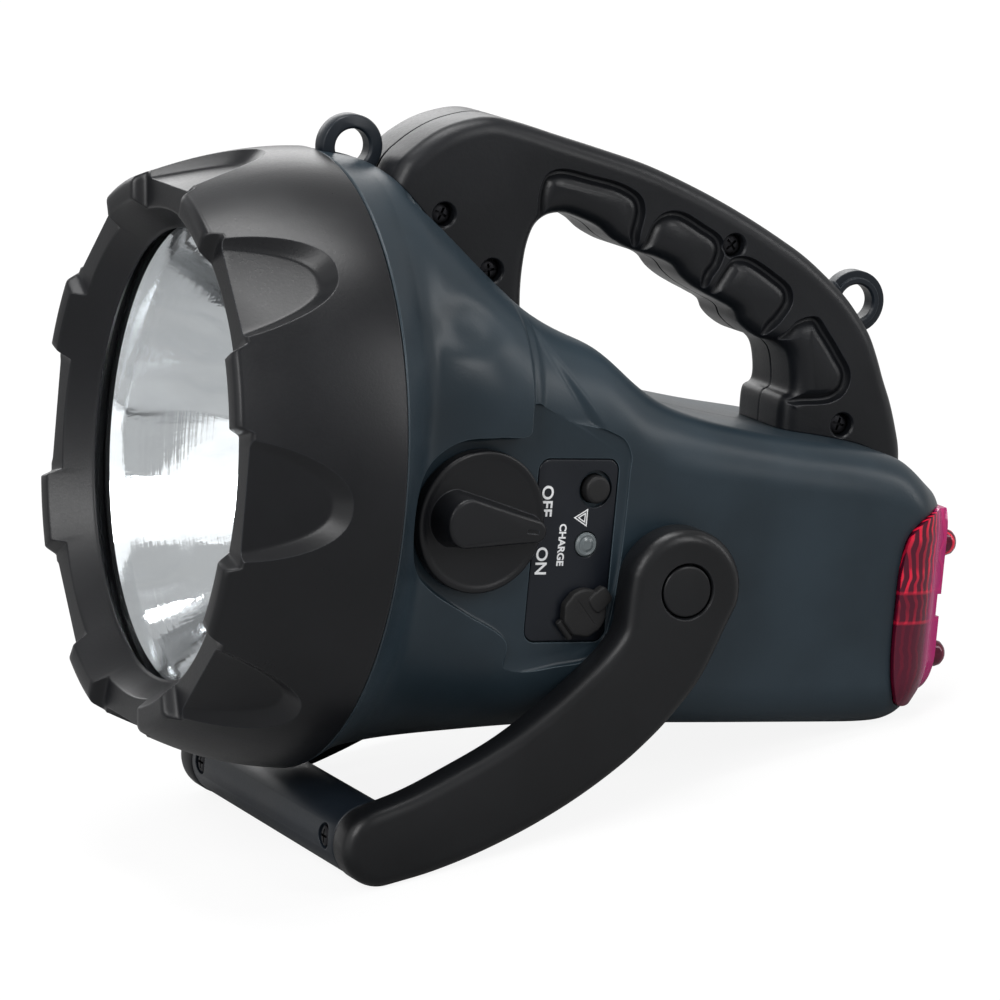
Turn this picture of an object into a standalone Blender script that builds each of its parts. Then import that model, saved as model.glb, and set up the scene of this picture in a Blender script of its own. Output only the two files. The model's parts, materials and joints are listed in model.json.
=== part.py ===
"""Rechargeable spotlight with a carry handle, a folding bail stand and a red tail lamp.

The lamp is modelled along its own axis first: X runs from the seam between bezel and body
towards the tail, the control panel is on the -Y side, and Z is up. The stance empty then pitches
the whole lamp nose up, so that it stands on the bail's crossbar and on the body's rear edge.
"""
import math
from collections import namedtuple

import bmesh
import bpy
from mathutils import Matrix, Vector

MM = 0.001
GAP = 0.3 * MM
OVERRUN = 6 * MM
MERGE_DISTANCE = 0.002 * MM
SHARP_ANGLE = math.radians(32)
ROUND_STEPS = 48
MEDIUM_STEPS = 20
SMALL_STEPS = 10
NUT_SIDES = 6
MITRE_LIMIT_SHARE = 0.5
# An edge's rounding: how much of its depth and of its width the first of its two slopes takes
ROUNDING_SHOULDER_SHARE = 0.3

# Head
HEAD_RADIUS = 80 * MM
BEZEL_LENGTH = 42 * MM
RIM_INSET = 9.5 * MM
RIM_RADIUS = HEAD_RADIUS - RIM_INSET
RIM_CHAMFER = 1.6 * MM
RIM_FACE = 3.6 * MM
BARREL_POWER = 1.8
BARREL_STATIONS = 5
TOOTH_COUNT = 8
TOOTH_HEIGHT = 3.6 * MM
TOOTH_WIDTH_SHARE = 0.34
TOOTH_SLOPE = 1.2 * MM
SCOOP_LENGTH = 21 * MM
SCOOP_SLOPE = 4.2 * MM
SCOOP_DEPTH = 3.4 * MM
SCOOP_FRONT_SHARE = 0.9
SCOOP_RISE_SHARE = 1.8
SCOOP_ROUNDNESS = 2.4
SCOOP_HALF_ANGLE = math.radians(11)
SCOOP_POINTS = 5
LENS_INSET = 16 * MM
LENS_RADIUS = HEAD_RADIUS - LENS_INSET
LIP_OVERLAP = 6.2 * MM
LIP_RADIUS = LENS_RADIUS - LIP_OVERLAP
LIP_SETBACK = 10.7 * MM
LIP_THICKNESS = 1.6 * MM
LENS_THICKNESS = 3 * MM
GASKET_THICKNESS = 2 * MM
GASKET_WIDTH = 5 * MM
GASKET_BORE_RADIUS = LENS_RADIUS - GASKET_WIDTH
SPIGOT_INSET = 8.8 * MM
SPIGOT_RADIUS = HEAD_RADIUS - SPIGOT_INSET
FLANGE_PLAY = 0.8 * MM
FLANGE_RADIUS = SPIGOT_RADIUS - FLANGE_PLAY
FLANGE_THICKNESS = 2 * MM
SPIGOT_WALL = 3.2 * MM
SPIGOT_ROOT = 3 * MM
MOUTH_PLAY = 0.6 * MM
REFLECTOR_MOUTH_RADIUS = LIP_RADIUS + MOUTH_PLAY
REFLECTOR_APEX = 32 * MM
REFLECTOR_WALL = 1.5 * MM
REFLECTOR_STATIONS = 7
REFLECTOR_SPACING_POWER = 1.7
BULB_HOLE_RADIUS = 9 * MM
BULB_RADIUS = 5.5 * MM
BULB_LENGTH = 24 * MM
BULB_DOME_SHARES = (0.2, 0.6)
BULB_BASE_RADIUS = 8.4 * MM
BULB_STEM_RADIUS = 4.2 * MM
BULB_BASE_LENGTH = 5 * MM
BULB_FLANGE_RADIUS = 12 * MM
BULB_FLANGE_THICKNESS = 1.5 * MM
SOCKET_RADIUS = 13 * MM
SOCKET_LENGTH = 9 * MM

# Body, with its sections from the seam to the tail: place along the body, half width, top, bottom,
# top corner radius and bottom corner radius. The first is a share of BODY_LENGTH and the others
# are shares of HEAD_RADIUS.
BODY_LENGTH = 172 * MM
BODY_WALL = 2.8 * MM
SEAM_STEP = 0.4 * MM
BODY_FLOOR_SHARE = 0.775
BODY_SHARES = (
    (0.000, 1.000, 1.000, 1.000, 1.000, 1.000),
    (0.035, 0.885, 0.995, 0.965, 0.880, 0.880),
    (0.080, 0.735, 0.975, 0.935, 0.700, 0.720),
    (0.129, 0.712, 0.885, 0.905, 0.600, 0.660),
    (0.181, 0.702, 0.765, 0.875, 0.500, 0.580),
    (0.234, 0.690, 0.655, 0.845, 0.420, 0.480),
    (0.287, 0.668, 0.560, 0.818, 0.350, 0.380),
    (0.339, 0.645, 0.500, 0.800, 0.310, 0.310),
    (0.410, 0.620, 0.440, 0.780, 0.270, 0.230),
    (0.450, 0.609, 0.372, BODY_FLOOR_SHARE, 0.240, 0.185),
    (0.491, 0.597, 0.306, BODY_FLOOR_SHARE, 0.215, 0.165),
    (0.544, 0.590, 0.252, BODY_FLOOR_SHARE, 0.190, 0.155),
    (0.715, 0.569, 0.178, BODY_FLOOR_SHARE, 0.158, 0.150),
    (0.877, 0.549, 0.137, BODY_FLOOR_SHARE, 0.155, 0.150),
    (0.936, 0.538, 0.108, 0.768, 0.155, 0.150),
    (0.971, 0.516, 0.050, 0.735, 0.145, 0.150),
    (1.000, 0.460, 0.010, 0.660, 0.130, 0.140),
)
CORNER_STEPS = 6
CORNER_LIMIT = 0.985

# Tail lamp: the red lens is cut from the body's own form by an outline in shares of its height
# and depth, from the upper rear corner round the front edge to the lower rear corner.
TAIL_TOP_SHARE = -0.0375
TAIL_TOP = TAIL_TOP_SHARE * HEAD_RADIUS
TAIL_HEIGHT_SHARE = 0.65625
TAIL_HEIGHT = TAIL_HEIGHT_SHARE * HEAD_RADIUS
TAIL_DEPTH = 14.5 * MM
TAIL_BULGE = 1.6 * MM
TAIL_WALL = 2.2 * MM
TAIL_EDGE_SHARES = (
    (0.86, 0.00), (0.45, 0.05), (0.13, 0.14), (0.02, 0.28), (0.00, 0.50),
    (0.02, 0.76), (0.12, 0.92), (0.30, 1.00), (0.86, 1.00),
)
TAIL_GROOVE_HEIGHT = 6 * MM
TAIL_GROOVE_DEPTH = 1.2 * MM
TAIL_GROOVE_SHARE = -0.3625
TAIL_GROOVE_PLACE = TAIL_GROOVE_SHARE * HEAD_RADIUS
PEG_RADIUS = 3.6 * MM
PEG_CHAMFER = 1.8 * MM
PEG_REACH = 8.2 * MM
PEG_SPREAD_SHARE = 0.3375
PEG_PLACE_SHARES = (-0.175, -0.55)
TAIL_BOARD_WIDTH_SHARE = 0.775
TAIL_BOARD_HEIGHT_SHARE = 0.425
TAIL_BOARD_THICKNESS = 1.6 * MM
TAIL_TRAY_THICKNESS = 1.6 * MM
TAIL_LED_RADIUS = 2.5 * MM
TAIL_LED_LENGTH = 8 * MM
TAIL_LED_DOME_SHARES = (0.33, 0.7)
TAIL_LED_SPACING = 20 * MM
TAIL_LED_COUNT = 3

# Handle, in the plane of symmetry. The outline's shares are of HANDLE_SPAN along X and of
# HANDLE_RISE above the axis.
HANDLE_SPAN = BODY_LENGTH
HANDLE_CLEARANCE = 11.5 * MM
HANDLE_RISE = HEAD_RADIUS + HANDLE_CLEARANCE
HANDLE_HALF_WIDTH = 15 * MM
HANDLE_ROUNDING = 4.5 * MM
HANDLE_WALL = 2.6 * MM
HANDLE_OUTER_SHARES = (
    (0.093, 0.644), (0.109, 0.847), (0.137, 0.907), (0.180, 0.962), (0.223, 0.991),
    (0.256, 1.000), (0.297, 0.988), (0.365, 0.957), (0.442, 0.922), (0.520, 0.883),
    (0.612, 0.819), (0.687, 0.756), (0.753, 0.692), (0.799, 0.642), (0.843, 0.581),
    (0.872, 0.536), (0.895, 0.490), (0.922, 0.424), (0.939, 0.361), (0.953, 0.298),
    (0.970, 0.227), (0.983, 0.158), (0.992, 0.098), (0.995, 0.044), (0.995, -0.040),
)
HANDLE_UNDER_SHARES = (
    (0.779, -0.040), (0.779, 0.120), (0.781, 0.230), (0.793, 0.247), (0.791, 0.317),
    (0.781, 0.365), (0.759, 0.393), (0.735, 0.400), (0.713, 0.420), (0.695, 0.448),
    (0.686, 0.477), (0.660, 0.502), (0.635, 0.522), (0.610, 0.545), (0.591, 0.570),
    (0.576, 0.599), (0.549, 0.620), (0.523, 0.631), (0.497, 0.645), (0.470, 0.669),
    (0.448, 0.699), (0.416, 0.723), (0.384, 0.737), (0.358, 0.728), (0.341, 0.702),
    (0.331, 0.650), (0.327, 0.579), (0.327, 0.514), (0.330, 0.437), (0.332, 0.302),
)
GRIP_PANEL_DEPTH = 1.1 * MM
GRIP_PANEL_CORNER = 3 * MM
GRIP_PANEL_STEPS = 3
# Grip panels: centre along and up in shares of the span and rise, length and width in shares of
# HANDLE_HALF_WIDTH, and slope in degrees
GRIP_PANEL_SHARES = (
    (0.417, 0.758, 1.84, 0.87, -12),
    (0.583, 0.664, 1.37, 0.87, -27),
    (0.706, 0.533, 1.37, 0.87, -31),
    (0.833, 0.345, 1.53, 0.70, -62),
)
TONGUE_HALF_WIDTH = 9 * MM
TONGUE_WALL = 2 * MM
# The tongues' limits, in shares of HANDLE_SPAN along and of HANDLE_RISE up
FRONT_TONGUE_SHARES = (0.308140, 0.765027)
REAR_TONGUE_SHARES = (0.755814, 0.295082)

# Screws: an M3 thread-forming screw in a sunk well
SCREW_RADIUS = 1.5 * MM
SCREW_HEAD_RADIUS = 2.7 * MM
SCREW_HEAD_HEIGHT = 2 * MM
SCREW_LENGTH = 22.5 * MM
WELL_RADIUS = 3.1 * MM
BOSS_RADIUS = 4.2 * MM
# Handle screws, in shares of HANDLE_SPAN along and of HANDLE_RISE up, and the share of
# TONGUE_HALF_WIDTH that each boss leaves free for a tongue
HANDLE_SCREW_SHARES = (
    (0.183140, 0.721311, 1), (0.268605, 0.568306, 1), (0.667442, 0.668852, 0),
    (0.880233, 0.160656, 1),
)
HANDLE_WELL_FLOOR = 10.5 * MM
# Body screws: the first stands in front of the battery and under the axis by a share of
# HEAD_RADIUS, and the others are in shares of BODY_LENGTH along and of HEAD_RADIUS up
FRONT_SCREW_SPACE = 7.5 * MM
FRONT_SCREW_SHARE = -0.6875
BODY_SCREW_SHARES = ((0.348837, 0.325), (0.581395, 0.0375), (0.813953, -0.025))
BODY_WELL_FLOOR = 9 * MM

# Strap eyelets
EYELET_RADIUS = 8.5 * MM
EYELET_HOLE_RADIUS = 4.7 * MM
EYELET_THICKNESS = 5.6 * MM
EYELET_STEPS = 16
EYELET_NECK_WIDTH = 14 * MM
EYELET_FOOT_WIDTH = 17.6 * MM
EYELET_FOOT_HEIGHT = 2.4 * MM
FRONT_EYELET_X_SHARE = 0.056977
FRONT_EYELET_X = FRONT_EYELET_X_SHARE * HANDLE_SPAN
FRONT_EYELET_RISE = 0.9 * MM
FRONT_EYELET_NECK = 8 * MM
# The rear eyelet's place, in shares of HANDLE_SPAN along and of HANDLE_RISE up
REAR_EYELET_SHARES = (0.922093, 0.502732)
REAR_EYELET_LEAN = math.radians(52)
REAR_EYELET_NECK = 8.8 * MM

# Control panel, a flat pocket in the left side. Its own frame has u along the lamp, v up and w
# outwards, with its centre under the knob. The outline is in shares of PANEL_SIZE.
PANEL_X = 30.8 * MM
PANEL_Y_SHARE = -0.6625
PANEL_Y = PANEL_Y_SHARE * HEAD_RADIUS
PANEL_Z_SHARE = -0.08
PANEL_Z = PANEL_Z_SHARE * HEAD_RADIUS
PANEL_TILT = math.radians(6.5)
PANEL_SIZE = 45 * MM
PANEL_BACKING = 3.2 * MM
PANEL_POCKET_HEIGHT = 30 * MM
PANEL_FLARE_SHARE = 0.1
PANEL_MARGIN = 4 * MM
PANEL_SHARES = (
    (0.29, 0.66), (0.55, 0.59), (0.83, 0.51), (0.93, 0.46), (0.98, 0.37), (0.98, 0.28), (0.97, -0.24),
    (0.93, -0.60), (0.90, -0.72), (0.82, -0.80), (0.62, -0.84), (0.27, -0.87), (0.25, -0.69),
    (-0.02, -0.53), (-0.24, -0.41), (-0.38, -0.29), (-0.46, -0.13), (-0.48, 0.05), (-0.43, 0.22),
    (-0.32, 0.36), (-0.16, 0.45), (0.06, 0.47), (0.26, 0.49),
)
KNOB_RADIUS = 18.3 * MM
KNOB_THICKNESS = 3.4 * MM
KNOB_EDGE = 0.85 * MM
KNOB_POINTER_SUNK = 1.7 * MM
KNOB_POINTER_RADIUS = 6.2 * MM
KNOB_POINTER_TIP_RADIUS = 2.4 * MM
KNOB_POINTER_BACK = 6.5 * MM
KNOB_POINTER_REACH = 15.2 * MM
KNOB_POINTER_HEIGHT = 8 * MM
KNOB_POINTER_TIP_HEIGHT = 4.4 * MM
KNOB_POINTER_ANGLE = math.radians(-7)
KNOB_POINTER_STEPS = 12
SHAFT_RADIUS = 3 * MM
SHAFT_LENGTH = 9 * MM
SWITCH_RADIUS = 11 * MM
SWITCH_LENGTH = 13 * MM
PLATE_WIDTH = 23.4 * MM
PLATE_HEIGHT = 47 * MM
PLATE_CORNER = 3 * MM
PLATE_THICKNESS = 1 * MM
PLATE_U = 29.2 * MM
PLATE_V = -7.9 * MM
BUTTON_U = 34.6 * MM
BUTTON_V = 8 * MM
BUTTON_RADIUS = 3.6 * MM
BUTTON_PROUD = 1.8 * MM
BUTTON_TRAVEL = 1.2 * MM
BUTTON_FLANGE_RADIUS = 4.8 * MM
BUTTON_FLANGE_THICKNESS = 1 * MM
BUTTON_RING_RADIUS = 4.8 * MM
BUTTON_DOME_SHARES = (0.7, 0.85)
CONTACT_HALF_WIDTH = 3 * MM
CONTACT_CORNER = 1 * MM
LIGHT_U = 33.2 * MM
LIGHT_V = -6.3 * MM
LIGHT_RADIUS = 3.1 * MM
LIGHT_PROUD = 0.9 * MM
LIGHT_DOME_SHARES = (0.7, 0.75)
JACK_U = 33.4 * MM
JACK_V = -23.6 * MM
JACK_RADIUS = 4.4 * MM
JACK_BORE_RADIUS = 2 * MM
JACK_FLOOR = 1 * MM
JACK_MOUTH_DEPTH = 2.4 * MM
CAP_RADIUS = 5.9 * MM
CAP_THICKNESS = 2.2 * MM
CAP_EDGE = 0.73 * MM
CAP_STUB_RADIUS = 3 * MM
CAP_STUB_LENGTH = 1.6 * MM
CAP_TAB_REACH = 2.4 * MM
CAP_TAB_WIDTH = 5 * MM
CAP_TAB_LIFT = 0.5 * MM
CAP_HINGE_OFFSET = 6.8 * MM
CAP_HINGE_RADIUS = 0.9 * MM
CAP_HINGE_HALF_LENGTH = 3 * MM
CAP_WEB_SHARE = 0.9
CAP_DIRECTION = math.radians(42)
BOARD_DEPTH = 9 * MM
BOARD_THICKNESS = 1.6 * MM
BOARD_WIDTH = 21 * MM
BOARD_HEIGHT = 46 * MM

# Bail stand
SUPPORT_ROUNDS = 12
PANEL_TO_PIVOT = 57.7 * MM
PIVOT_X = PANEL_X + PANEL_TO_PIVOT
PIVOT_Z_SHARE = -0.28125
PIVOT_Z = PIVOT_Z_SHARE * HEAD_RADIUS
BAR_X = 10.7 * MM
BAR_DROP = 9.8 * MM
BAR_Z = -HEAD_RADIUS - BAR_DROP
BAR_RADIUS = 10 * MM
BAR_BORE_RADIUS = 6.6 * MM
PIVOT_BOSS_SHARE = 0.60375
PIVOT_BOSS_FACE = PIVOT_BOSS_SHARE * HEAD_RADIUS
PIVOT_WASHER_THICKNESS = 1.4 * MM
ARM_INNER_Y = PIVOT_BOSS_FACE + PIVOT_WASHER_THICKNESS + 2 * GAP
ARM_THICKNESS = 10 * MM
ARM_ROUNDING = 3 * MM
ARM_INNER_ROUNDING = 1 * MM
ARM_BOSS_RADIUS = 16 * MM
# The arm's middle line and half width: share of the way from pivot to bar, offset from that chord
# as a share of its length, and half width as a share of ARM_BOSS_RADIUS
ARM_SHARES = (
    (0.000, 0.0000, 1.000), (0.128, 0.0885, 0.838), (0.222, 0.1160, 0.813), (0.335, 0.1280, 0.813),
    (0.476, 0.1275, 0.788), (0.620, 0.1123, 0.750), (0.769, 0.0797, 0.719), (0.892, 0.0437, 0.675),
    (1.000, 0.0000, 0.638),
)
ARM_END_STEPS = 8
ARM_SPIGOT_LENGTH = 14 * MM
PIVOT_BOSS_RADIUS = 12 * MM
PIVOT_BOSS_DEPTH = 8.3 * MM
PIVOT_BOLT_RADIUS = 4 * MM
PIVOT_HEAD_RADIUS = 6.3 * MM
PIVOT_HEAD_HEIGHT = 2.4 * MM
PIVOT_CAP_RADIUS = 6.8 * MM
PIVOT_CAP_THICKNESS = 2.6 * MM
PIVOT_CAP_CROWN_SHARE = 0.9
PIVOT_WASHER_RADIUS = 9 * MM
PIVOT_NUT_RADIUS = 7 * MM
PIVOT_NUT_THICKNESS = 3 * MM
BAIL_SCREW_INSET = 6.5 * MM
BAIL_SCREW_LENGTH = 9 * MM

# Battery, a 6 V 4 Ah sealed block
BATTERY_FRONT = 49.5 * MM
BATTERY_TAIL_SPACE = 21.5 * MM
BATTERY_LENGTH = BODY_LENGTH - BATTERY_FRONT - BATTERY_TAIL_SPACE
BATTERY_SIDE_SPACE = 1.4 * MM
PIVOT_NUT_FACE = PIVOT_BOSS_FACE - PIVOT_BOSS_DEPTH - PIVOT_NUT_THICKNESS - 2 * GAP
BATTERY_WIDTH = 2 * (PIVOT_NUT_FACE - BATTERY_SIDE_SPACE)
BATTERY_HEIGHT_SHARE = 0.5875
BATTERY_HEIGHT = BATTERY_HEIGHT_SHARE * HEAD_RADIUS
BATTERY_CORNER = 2 * MM
BATTERY_CORNER_STEPS = 2
TERMINAL_WIDTH = 4.8 * MM
TERMINAL_THICKNESS = 0.8 * MM
TERMINAL_HEIGHT = 6 * MM
TERMINAL_INSET = 12 * MM
PAD_PLACE_SHARE = 0.62
PAD_THICKNESS = 3 * MM
PAD_LENGTH = 40 * MM
PAD_WIDTH = 50 * MM

FINISHES = {
    "black_plastic": ((0.018, 0.018, 0.020), 0.42, 0.0),
    "grey_plastic": ((0.045, 0.058, 0.070), 0.45, 0.0),
    "black_rubber": ((0.020, 0.020, 0.020), 0.75, 0.0),
    "clear_plastic": ((0.90, 0.93, 0.95), 0.05, 0.0),
    "red_plastic": ((0.55, 0.01, 0.05), 0.12, 0.0),
    "chrome": ((0.90, 0.90, 0.90), 0.06, 1.0),
    "steel": ((0.55, 0.55, 0.55), 0.30, 1.0),
    "brass": ((0.65, 0.48, 0.20), 0.30, 1.0),
    "board_green": ((0.03, 0.16, 0.06), 0.50, 0.0),
    "battery_black": ((0.03, 0.03, 0.03), 0.60, 0.0),
    "white_plastic": ((0.80, 0.80, 0.78), 0.40, 0.0),
}


def clear_scene():
    """Empties the scene that the script runs in."""
    for found in list(bpy.data.objects):
        bpy.data.objects.remove(found)


def finish(name):
    """The material of that name, made when it is first asked for."""
    found = bpy.data.materials.get(name)
    if found is None:
        colour, roughness, metallic = FINISHES[name]
        found = bpy.data.materials.new(name)
        found.use_nodes = True
        shader = found.node_tree.nodes["Principled BSDF"]
        shader.inputs["Base Color"].default_value = (*colour, 1)
        shader.inputs["Roughness"].default_value = roughness
        shader.inputs["Metallic"].default_value = metallic
    return found


def mesh_object(name, bm, material=None):
    """An object of the closed mesh bm, with its faces pointing out."""
    bmesh.ops.recalc_face_normals(bm, faces=bm.faces)
    mesh = bpy.data.meshes.new(name)
    bm.to_mesh(mesh)
    bm.free()
    made = bpy.data.objects.new(name, mesh)
    bpy.context.scene.collection.objects.link(made)
    if material is not None:
        mesh.materials.append(finish(material))
    return made


def merged(mesh):
    """Merges what a Boolean left closer together than MERGE_DISTANCE."""
    bm = bmesh.new()
    bm.from_mesh(mesh)
    bmesh.ops.remove_doubles(bm, verts=bm.verts, dist=MERGE_DISTANCE)
    bmesh.ops.dissolve_degenerate(bm, dist=MERGE_DISTANCE, edges=bm.edges)
    bm.to_mesh(mesh)
    bm.free()


def shade(mesh):
    """Shades the mesh smooth between its sharp edges."""
    mesh.shade_smooth()
    mesh.set_sharp_from_angle(angle=SHARP_ANGLE)


def combine(target, tool, operation):
    """Joins, cuts or intersects target with tool, and removes tool."""
    modifier = target.modifiers.new(operation, "BOOLEAN")
    modifier.operation = operation
    modifier.solver = "EXACT"
    modifier.object = tool
    bpy.context.view_layer.update()
    evaluated = target.evaluated_get(bpy.context.evaluated_depsgraph_get())
    mesh = bpy.data.meshes.new_from_object(evaluated)
    merged(mesh)
    target.modifiers.clear()
    old = target.data
    target.data = mesh
    mesh.name = target.name
    bpy.data.meshes.remove(old)
    bpy.data.objects.remove(tool)
    return target


def cut(target, *tools):
    """Cuts each tool out of target."""
    for tool in tools:
        combine(target, tool, "DIFFERENCE")
    return target


def weld(target, *tools):
    """Joins each tool to target."""
    for tool in tools:
        combine(target, tool, "UNION")
    return target


def common(target, tool):
    """Keeps what target and tool share."""
    return combine(target, tool, "INTERSECT")


def loft(name, rings, material=None):
    """A solid through rings of points, each ring with the same number of points."""
    bm = bmesh.new()
    verts = [[bm.verts.new(point) for point in ring] for ring in rings]
    count = len(rings[0])
    for one, two in zip(verts, verts[1:]):
        for i in range(count):
            j = (i + 1) % count
            bm.faces.new((one[i], one[j], two[j], two[i]))
    bm.faces.new(reversed(verts[0]))
    bm.faces.new(verts[-1])
    bmesh.ops.triangulate(bm, faces=[face for face in bm.faces if len(face.verts) == 4])
    return mesh_object(name, bm, material)


def prism(name, outline, near, far, material=None):
    """An outline of (x, z) points, extruded along Y from near to far."""
    rings = [[(x, y, z) for x, z in outline] for y in (near, far)]
    return loft(name, rings, material)


def block(name, low, high, material=None):
    """A box between two corners."""
    outline = [(low[0], low[2]), (high[0], low[2]), (high[0], high[2]), (low[0], high[2])]
    return prism(name, outline, low[1], high[1], material)


def turned(name, profile, steps, material=None):
    """A closed profile of (x, radius) points, turned about the X axis."""
    bm = bmesh.new()
    rings = []
    for x, radius in profile:
        if radius == 0:
            rings.append([bm.verts.new((x, 0, 0))])
            continue
        turns = [2 * math.pi * i / steps for i in range(steps)]
        rings.append([bm.verts.new((x, radius * math.cos(a), radius * math.sin(a))) for a in turns])
    for one, two in zip(rings, rings[1:] + rings[:1]):
        if len(one) == 1 and len(two) == 1:
            continue
        for i in range(steps):
            j = (i + 1) % steps
            if len(one) == 1:
                bm.faces.new((one[0], two[j], two[i]))
            elif len(two) == 1:
                bm.faces.new((one[i], one[j], two[0]))
            else:
                bm.faces.new((one[i], one[j], two[j], two[i]))
    return mesh_object(name, bm, material)


def disc_profile(start, end, radius, bore=0):
    """The profile of a disc or, with a bore, of a ring, from start to end along its axis."""
    return [(start, bore), (start, radius), (end, radius), (end, bore)]


def placed(item, matrix):
    """Moves item's mesh by matrix."""
    item.data.transform(matrix)
    return item


def across(x, z, side=-1):
    """The matrix that lays a turned piece's axis along Y at (x, z), with its far end outwards."""
    return Matrix.Translation((x, 0, z)) @ Matrix.Rotation(side * math.pi / 2, 4, "Z")


def panel_frame():
    """The control panel's frame: X along the lamp, Z up and -Y outwards."""
    return Matrix.Translation((PANEL_X, PANEL_Y, PANEL_Z)) @ Matrix.Rotation(PANEL_TILT, 4, "Z")


def on_panel(u, v):
    """The matrix that stands a turned piece on the panel at (u, v), with its far end outwards."""
    return panel_frame() @ Matrix.Translation((u, 0, v)) @ Matrix.Rotation(-math.pi / 2, 4, "Z")


def panel_prism(name, outline, low, high, material=None):
    """An outline of (u, v) points on the panel, from low to high along its outward normal."""
    return placed(prism(name, outline, -low, -high, material), panel_frame())


def rounded_rectangle(centre_u, centre_v, width, height, corner, steps):
    """The outline of a rectangle with round corners."""
    points = []
    for quarter, (su, sv) in enumerate(((1, 1), (-1, 1), (-1, -1), (1, -1))):
        middle_u = centre_u + su * (width / 2 - corner)
        middle_v = centre_v + sv * (height / 2 - corner)
        for i in range(steps + 1):
            angle = (quarter + i / steps) * math.pi / 2
            points.append((middle_u + corner * math.cos(angle), middle_v + corner * math.sin(angle)))
    return points


def inset_outline(outline, depth):
    """The outline of (x, z) points moved inwards by depth along its corners' bisectors."""
    area = sum(a[0] * b[1] - b[0] * a[1] for a, b in zip(outline, outline[1:] + outline[:1]))
    turn = 1 if area > 0 else -1
    points = []
    for i, point in enumerate(outline):
        before = Vector(outline[i - 1])
        after = Vector(outline[(i + 1) % len(outline)])
        here = Vector(point)
        one = (here - before).normalized()
        two = (after - here).normalized()
        normal_one = Vector((-one.y, one.x)) * turn
        normal_two = Vector((-two.y, two.x)) * turn
        bisector = (normal_one + normal_two).normalized()
        reach = depth / max(bisector.dot(normal_one), MITRE_LIMIT_SHARE)
        moved = here + bisector * reach
        points.append((moved.x, moved.y))
    return points


def body_ring(shares, grow, stretch):
    """One section of the body's form, grown outwards by grow and moved back by stretch."""
    place, half_width, top, bottom, top_corner, bottom_corner = shares
    half = half_width * (HEAD_RADIUS - SEAM_STEP) + grow
    high = top * (HEAD_RADIUS - SEAM_STEP) + grow
    low = bottom * (HEAD_RADIUS - SEAM_STEP) + grow
    limit = min(half, (high + low) / 2) * CORNER_LIMIT
    radii = [min(r * (HEAD_RADIUS - SEAM_STEP) + grow, limit) for r in (top_corner, bottom_corner)]
    x = place * BODY_LENGTH + stretch
    ring = []
    for quarter, (side, up) in enumerate(((1, 1), (-1, 1), (-1, -1), (1, -1))):
        radius = radii[0] if up > 0 else radii[1]
        middle_y = side * (half - radius)
        middle_z = (high - radius) if up > 0 else (radius - low)
        for i in range(CORNER_STEPS + 1):
            angle = (quarter + i / CORNER_STEPS) * math.pi / 2
            ring.append((x, middle_y + radius * math.cos(angle), middle_z + radius * math.sin(angle)))
    return ring


def body_form(name, grow=0.0, front_overrun=0.0):
    """The body's outer form as a solid, grown outwards by grow all over."""
    rings = [body_ring(shares, grow, 0.0) for shares in BODY_SHARES[:-1]]
    rings.append(body_ring(BODY_SHARES[-1], grow, grow))
    if front_overrun:
        first = [(x - front_overrun, y, z) for x, y, z in rings[0]]
        rings.insert(0, first)
    return loft(name, rings)


def side_block(side):
    """A large block that covers one side of the plane of symmetry, for halving a shell."""
    reach = BODY_LENGTH + HEAD_RADIUS
    near = side * GAP / 2
    far = side * reach
    return block("side", (-reach, min(near, far), -reach), (reach, max(near, far), reach))


def barrel_radius(distance):
    """The bezel's outer radius at a distance forward of the seam."""
    return HEAD_RADIUS - (HEAD_RADIUS - RIM_RADIUS) * (distance / BEZEL_LENGTH) ** BARREL_POWER


BezelPlaces = namedtuple(
    "BezelPlaces", "lip lens_front lens_back gasket_front gasket_back flange_front flange_back"
)


def bezel_places():
    """The places along the axis that the bezel, lens, gasket and reflector share."""
    lip = -BEZEL_LENGTH + LIP_SETBACK
    lens_front = lip + LIP_THICKNESS + GAP
    lens_back = lens_front + LENS_THICKNESS
    gasket_front = lens_back + GAP
    gasket_back = gasket_front + GASKET_THICKNESS
    flange_front = gasket_back + GAP
    flange_back = flange_front + FLANGE_THICKNESS
    return BezelPlaces(
        lip, lens_front, lens_back, gasket_front, gasket_back, flange_front, flange_back
    )


def scoop_cutter(angle):
    """The cutter of one hollow between two teeth: a tongue with a flat floor and sloping sides."""
    front = BEZEL_LENGTH - TOOTH_HEIGHT
    tip_height = barrel_radius(front - SCOOP_LENGTH) - SCOOP_DEPTH
    front_height = barrel_radius(front) - SCOOP_DEPTH * SCOOP_FRONT_SHARE
    fall = (tip_height - front_height) / SCOOP_LENGTH
    rise = SCOOP_DEPTH * SCOOP_RISE_SHARE
    slope = SCOOP_SLOPE * SCOOP_RISE_SHARE
    rings = []
    for lift, spread in ((0.0, 0.0), (rise, slope), (rise + OVERRUN, slope)):
        half_width = RIM_RADIUS * math.sin(SCOOP_HALF_ANGLE) + spread
        flat = []
        for i in range(2 * SCOOP_POINTS + 1):
            side = i / SCOOP_POINTS - 1
            inward = (SCOOP_LENGTH + spread) * (1 - abs(side) ** SCOOP_ROUNDNESS)
            flat.append((inward, side * half_width))
        flat += [(-OVERRUN, half_width), (-OVERRUN, -half_width)]
        level = tip_height - fall * SCOOP_LENGTH + lift
        rings.append([(inward - front, y, level + fall * inward) for inward, y in flat])
    return placed(loft("scoop", rings), Matrix.Rotation(angle, 4, "X"))


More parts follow.
